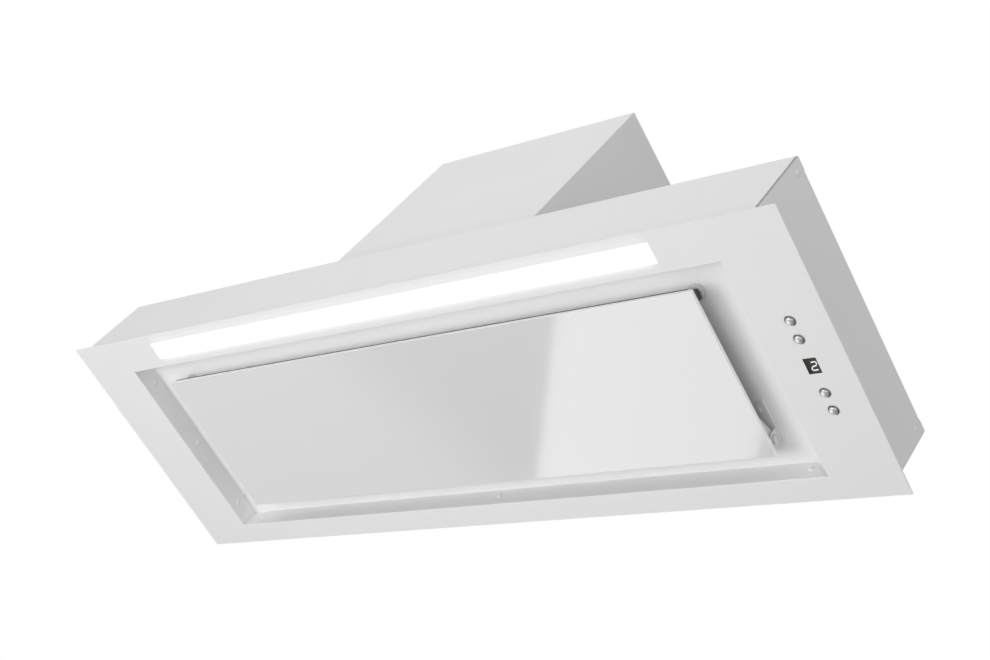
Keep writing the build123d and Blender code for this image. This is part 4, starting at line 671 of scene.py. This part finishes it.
# Controls in the flange: bezels, the black rubber seals behind them and the button caps. The seals
# also darken the grooves round the caps, standing in for the shade in them
CONTROL_X = 368.2
BUTTONS = (
    ("light_button", "button_light", -33.6),
    ("minus_button", "button_minus", -18.5),
    ("plus_button", "button_plus", 26.5),
    ("power_button", "button_power", 41.6),
)
BEZEL = [
    (4.5, -1.0), (4.5, -1.3), (4.4, -1.5), (4.22, -1.6), (4.06, -1.52), (3.96, -1.3), (3.92, 4.0),
    (4.22, 4.0), (4.22, -1.0),
]
BEZEL_SIDES = 48
SHADE_SEAL = [(3.62, -0.85), (3.56, -0.65), (3.62, -0.4), (3.9, -0.3), (3.9, -1.1), (3.72, -1.05)]
SHADE_SEAL_SIDES = 40
CAP = [
    (0.0, -3.2), (0.95, -3.18), (1.7, -3.11), (2.35, -2.98), (2.8, -2.78), (3.15, -2.5),
    (3.36, -2.16), (3.46, -1.75), (3.48, 4.05), (4.2, 4.05), (4.2, 5.05), (1.6, 5.05),
    (1.6, 13.0), (0.0, 13.0),
]
CAP_SIDES = 48
bezels = Draft()
shade_seals = Draft()
for body, node, y in BUTTONS:
    place = at(CONTROL_X, y, 0.0)
    bezels.turned(BEZEL, place, BEZEL_SIDES, closed=True)
    shade_seals.turned(SHADE_SEAL, place, SHADE_SEAL_SIDES, closed=True)
    cap = Draft().turned(CAP, place, CAP_SIDES)
    cap.piece(node + "_cap", "polished_steel", "polished_steel", body, node)
bezels.piece("bezel_rings", "polished_steel", "polished_steel", "hood", "button_bezels")
# partly painted shade: black seals that darken the grooves round the caps
shade_seals.piece("button_seals", "rubber", "rubber", "hood")

# The display's figure: slanted bars that end round, lit from behind the window
DISPLAY_Y = 4.0
BAR_HALF = 0.5
BAR_DEPTH = (-1.04, -0.98)
BAR_END_STEPS = 6
BARS = (
    ((0.45, -3.0), (3.35, -3.25)),
    ((4.0, -2.65), (3.95, -1.1)),
    ((3.15, -0.1), (0.0, 0.65)),
    ((-0.85, 1.45), (-1.2, 2.95)),
    ((-0.5, 3.7), (3.0, 3.5)),
)


def round_bar(start, end, half):
    """The outline of a bar with round ends."""
    start, end = Vector(start), Vector(end)
    lean = math.atan2(*(end - start).yx)
    turns = [lean + math.pi * (0.5 + i / BAR_END_STEPS) for i in range(BAR_END_STEPS + 1)]
    edge = [half * Vector((math.cos(t), math.sin(t))) for t in turns]
    return [start + step for step in edge] + [end - step for step in edge]


figure = Draft()
for start, end in BARS:
    figure.prism(round_bar(start, end, BAR_HALF), *BAR_DEPTH, at(CONTROL_X, DISPLAY_Y, 0.0))
figure.piece("display_figure", "lit_digit", "opal_plastic", "hood")

# A dark rubber strip on the glass, seen as a thin dark line before the carrier: a dark piece that
# stands in for the shade in the gap between the glass and the carrier
SHADE_STRIP_HALF = 296.0
SHADE_STRIP_FRONT, SHADE_STRIP_BACK = -67.4, -64.0
SHADE_STRIP_BOTTOM, SHADE_STRIP_TOP = 3.8, 5.4
SHADE_STRIP_ROUND = 0.3
shade_strip = Draft().prism(rectangle(SHADE_STRIP_HALF, SHADE_STRIP_FRONT, SHADE_STRIP_BACK), SHADE_STRIP_BOTTOM, SHADE_STRIP_TOP)
# painted shade: a dark strip in place of the gap's shadow
shade_strip.eased_edges(SHADE_STRIP_ROUND).piece("glass_edge_tape", "rubber", "rubber", "panel")

# Catch sockets, moulded in steps round the bore that takes the stud's nose
CATCH_X, CATCH_Y = 291.8, -57.2
RECESS_TOP = 18.8
SOCKET = [
    (6.5, 0.0), (6.4, -0.6), (7.3, -0.75), (7.3, -1.35), (7.1, -1.6), (6.5, -1.62), (6.42, -1.25),
    (6.1, -1.25), (6.0, -1.6), (5.92, -2.9), (5.7, -3.15), (5.5, -3.2), (4.6, -3.2), (4.5, -2.85),
    (4.15, -2.85), (4.05, -3.15), (3.75, -3.15), (3.3, -2.5), (3.3, 3.5), (4.8, 3.5), (5.0, 3.2),
    (5.0, 0.0),
]
SOCKET_SIDES = 56
sockets = Draft()
for side in SIDES:
    sockets.turned(SOCKET, at(side * CATCH_X, CATCH_Y, RECESS_TOP), SOCKET_SIDES, closed=True)
sockets.piece("catch_socket_rings", "white_plastic", "white_plastic", "hood", "catch_sockets")

# Pan head screws with a cross recess and rolled thread
HEAD_PAN = [
    (0.0, 2.2), (1.3, 2.16), (2.3, 2.0), (3.0, 1.65), (3.4, 1.15), (3.58, 0.6), (3.6, 0.2),
    (3.5, 0.0), (1.9, 0.0),
]
SCREW_SIDES = 24
SCREW_LENGTH = 5.0
SCREW_TIP = 1.2
THREAD_START = -0.15
THREAD_PITCH = 0.8
THREAD_TURNS = 6
THREAD_CREST, THREAD_ROOT = 1.9, 1.5
CROSS_HALF = 1.9
CROSS_WIDTH_HALF = 0.42
CROSS_BOTTOM, CROSS_TOP = 1.1, 3.0


def screw():
    """One screw, its head's seat at nought and its thread below."""
    thread = []
    for i in range(THREAD_TURNS):
        low = THREAD_START - THREAD_PITCH * i
        thread += [(THREAD_CREST, low), (THREAD_ROOT, low - THREAD_PITCH / 2)]
    thread += [(SCREW_TIP, -SCREW_LENGTH), (0.0, -SCREW_LENGTH)]
    blank = put("blank", Draft().turned(HEAD_PAN + thread, sides=SCREW_SIDES).data("screw"))
    wings = Draft()
    wing = rectangle(CROSS_HALF, -CROSS_WIDTH_HALF, CROSS_WIDTH_HALF)
    for turned in (0.0, math.pi / 2):
        wings.prism(wing, CROSS_BOTTOM, CROSS_TOP, Matrix.Rotation(turned, 4, "Z"))
    cross = put("cross", wings.data("cross"))
    cut = blank.modifiers.new("cut", "BOOLEAN")
    cut.operation = "DIFFERENCE"
    cut.solver = "EXACT"
    cut.use_self = True
    cut.object = cross
    solid = shaped(blank)
    for made in (blank, cross):
        bpy.data.objects.remove(made)
    return solid


# Screws along the foot of the motor box and on its cover
BOX_SCREW_X = 122.75
BOX_SCREW_Y = 78.2
BOX_FOOT_TOP = 72.2
COVER_SCREW_X = 110.75
COVER_TOP = 262.0
foot_ys = (-BOX_SCREW_Y, 0.0, BOX_SCREW_Y)
box_places = [at(side * BOX_SCREW_X, y, BOX_FOOT_TOP) for side in SIDES for y in foot_ys]
box_places += [
    at(side * COVER_SCREW_X, end * BOX_SCREW_Y, COVER_TOP) for side in SIDES for end in SIDES
]
repeated(
    "motor_box_pan_screws", screw(), box_places, "zinc_steel", "zinc_steel", "hood",
    "motor_box_screws",
)

# Screws of the outlet collar, on a circle about its axis
COLLAR_Y = 20.0
COLLAR_SCREW = 57.1
COLLAR_TOP = 263.5
collar_places = [
    at(x * COLLAR_SCREW, COLLAR_Y + y * COLLAR_SCREW, COLLAR_TOP) for x in SIDES for y in SIDES
]
repeated(
    "collar_pan_screws", screw(), collar_places, "zinc_steel", "zinc_steel", "hood",
    "collar_screws",
)

# Filter mesh: expanded aluminium, crimped so that its bonds lie high and low by turns
CRIMP_STEP = 4.0
BOND_STEP = 4.35
CRIMP_HALF = 2.3
MESH_MIDDLE = 23.55
MESH_CENTRE_Y = 4.9
COLUMNS = 30
ROWS = 11
FILTERS = (("filter_mesh_left", -136.0), ("filter_mesh_right", 136.0))
LATCH_HALF = 22.5
LATCH_BACK = -23.0

# A strand's two ends: how far along it they lie, and its half width there
STRAND_ENDS = ((-0.06, 0.5), (1.04, 0.34))
STRAND_THICK_HALF = 0.2


def bond():
    """One high bond with its four strands, each as far as halfway to the next bond."""
    knot = Draft()
    for across in SIDES:
        for along in SIDES:
            reach = Vector((across * CRIMP_STEP / 2, along * BOND_STEP / 4, -CRIMP_HALF))
            side = reach.cross(Vector((0.0, 0.0, 1.0))).normalized()
            lift = side.cross(reach).normalized() * STRAND_THICK_HALF
            knot.bar(
                *(
                    [reach * share + side * x + lift * y for x, y in rectangle(half, -1, 1)]
                    for share, half in STRAND_ENDS
                )
            )
    return knot.data("bond")


for node, x in FILTERS:
    places = []
    for column in range(-COLUMNS, COLUMNS + 1):
        low = column % 2
        for row in range(-ROWS, ROWS + 1 - low):
            across = column * CRIMP_STEP
            along = (row + 0.5 * low) * BOND_STEP + MESH_CENTRE_Y
            if abs(across) < LATCH_HALF and along < LATCH_BACK:
                continue
            place = at(x + across, along, MESH_MIDDLE + (-CRIMP_HALF if low else CRIMP_HALF))
            places.append(place @ Matrix.Rotation(math.pi, 4, "Y") if low else place)
    repeated(node + "_strands", bond(), places, "aluminium", "aluminium", "hood", node)
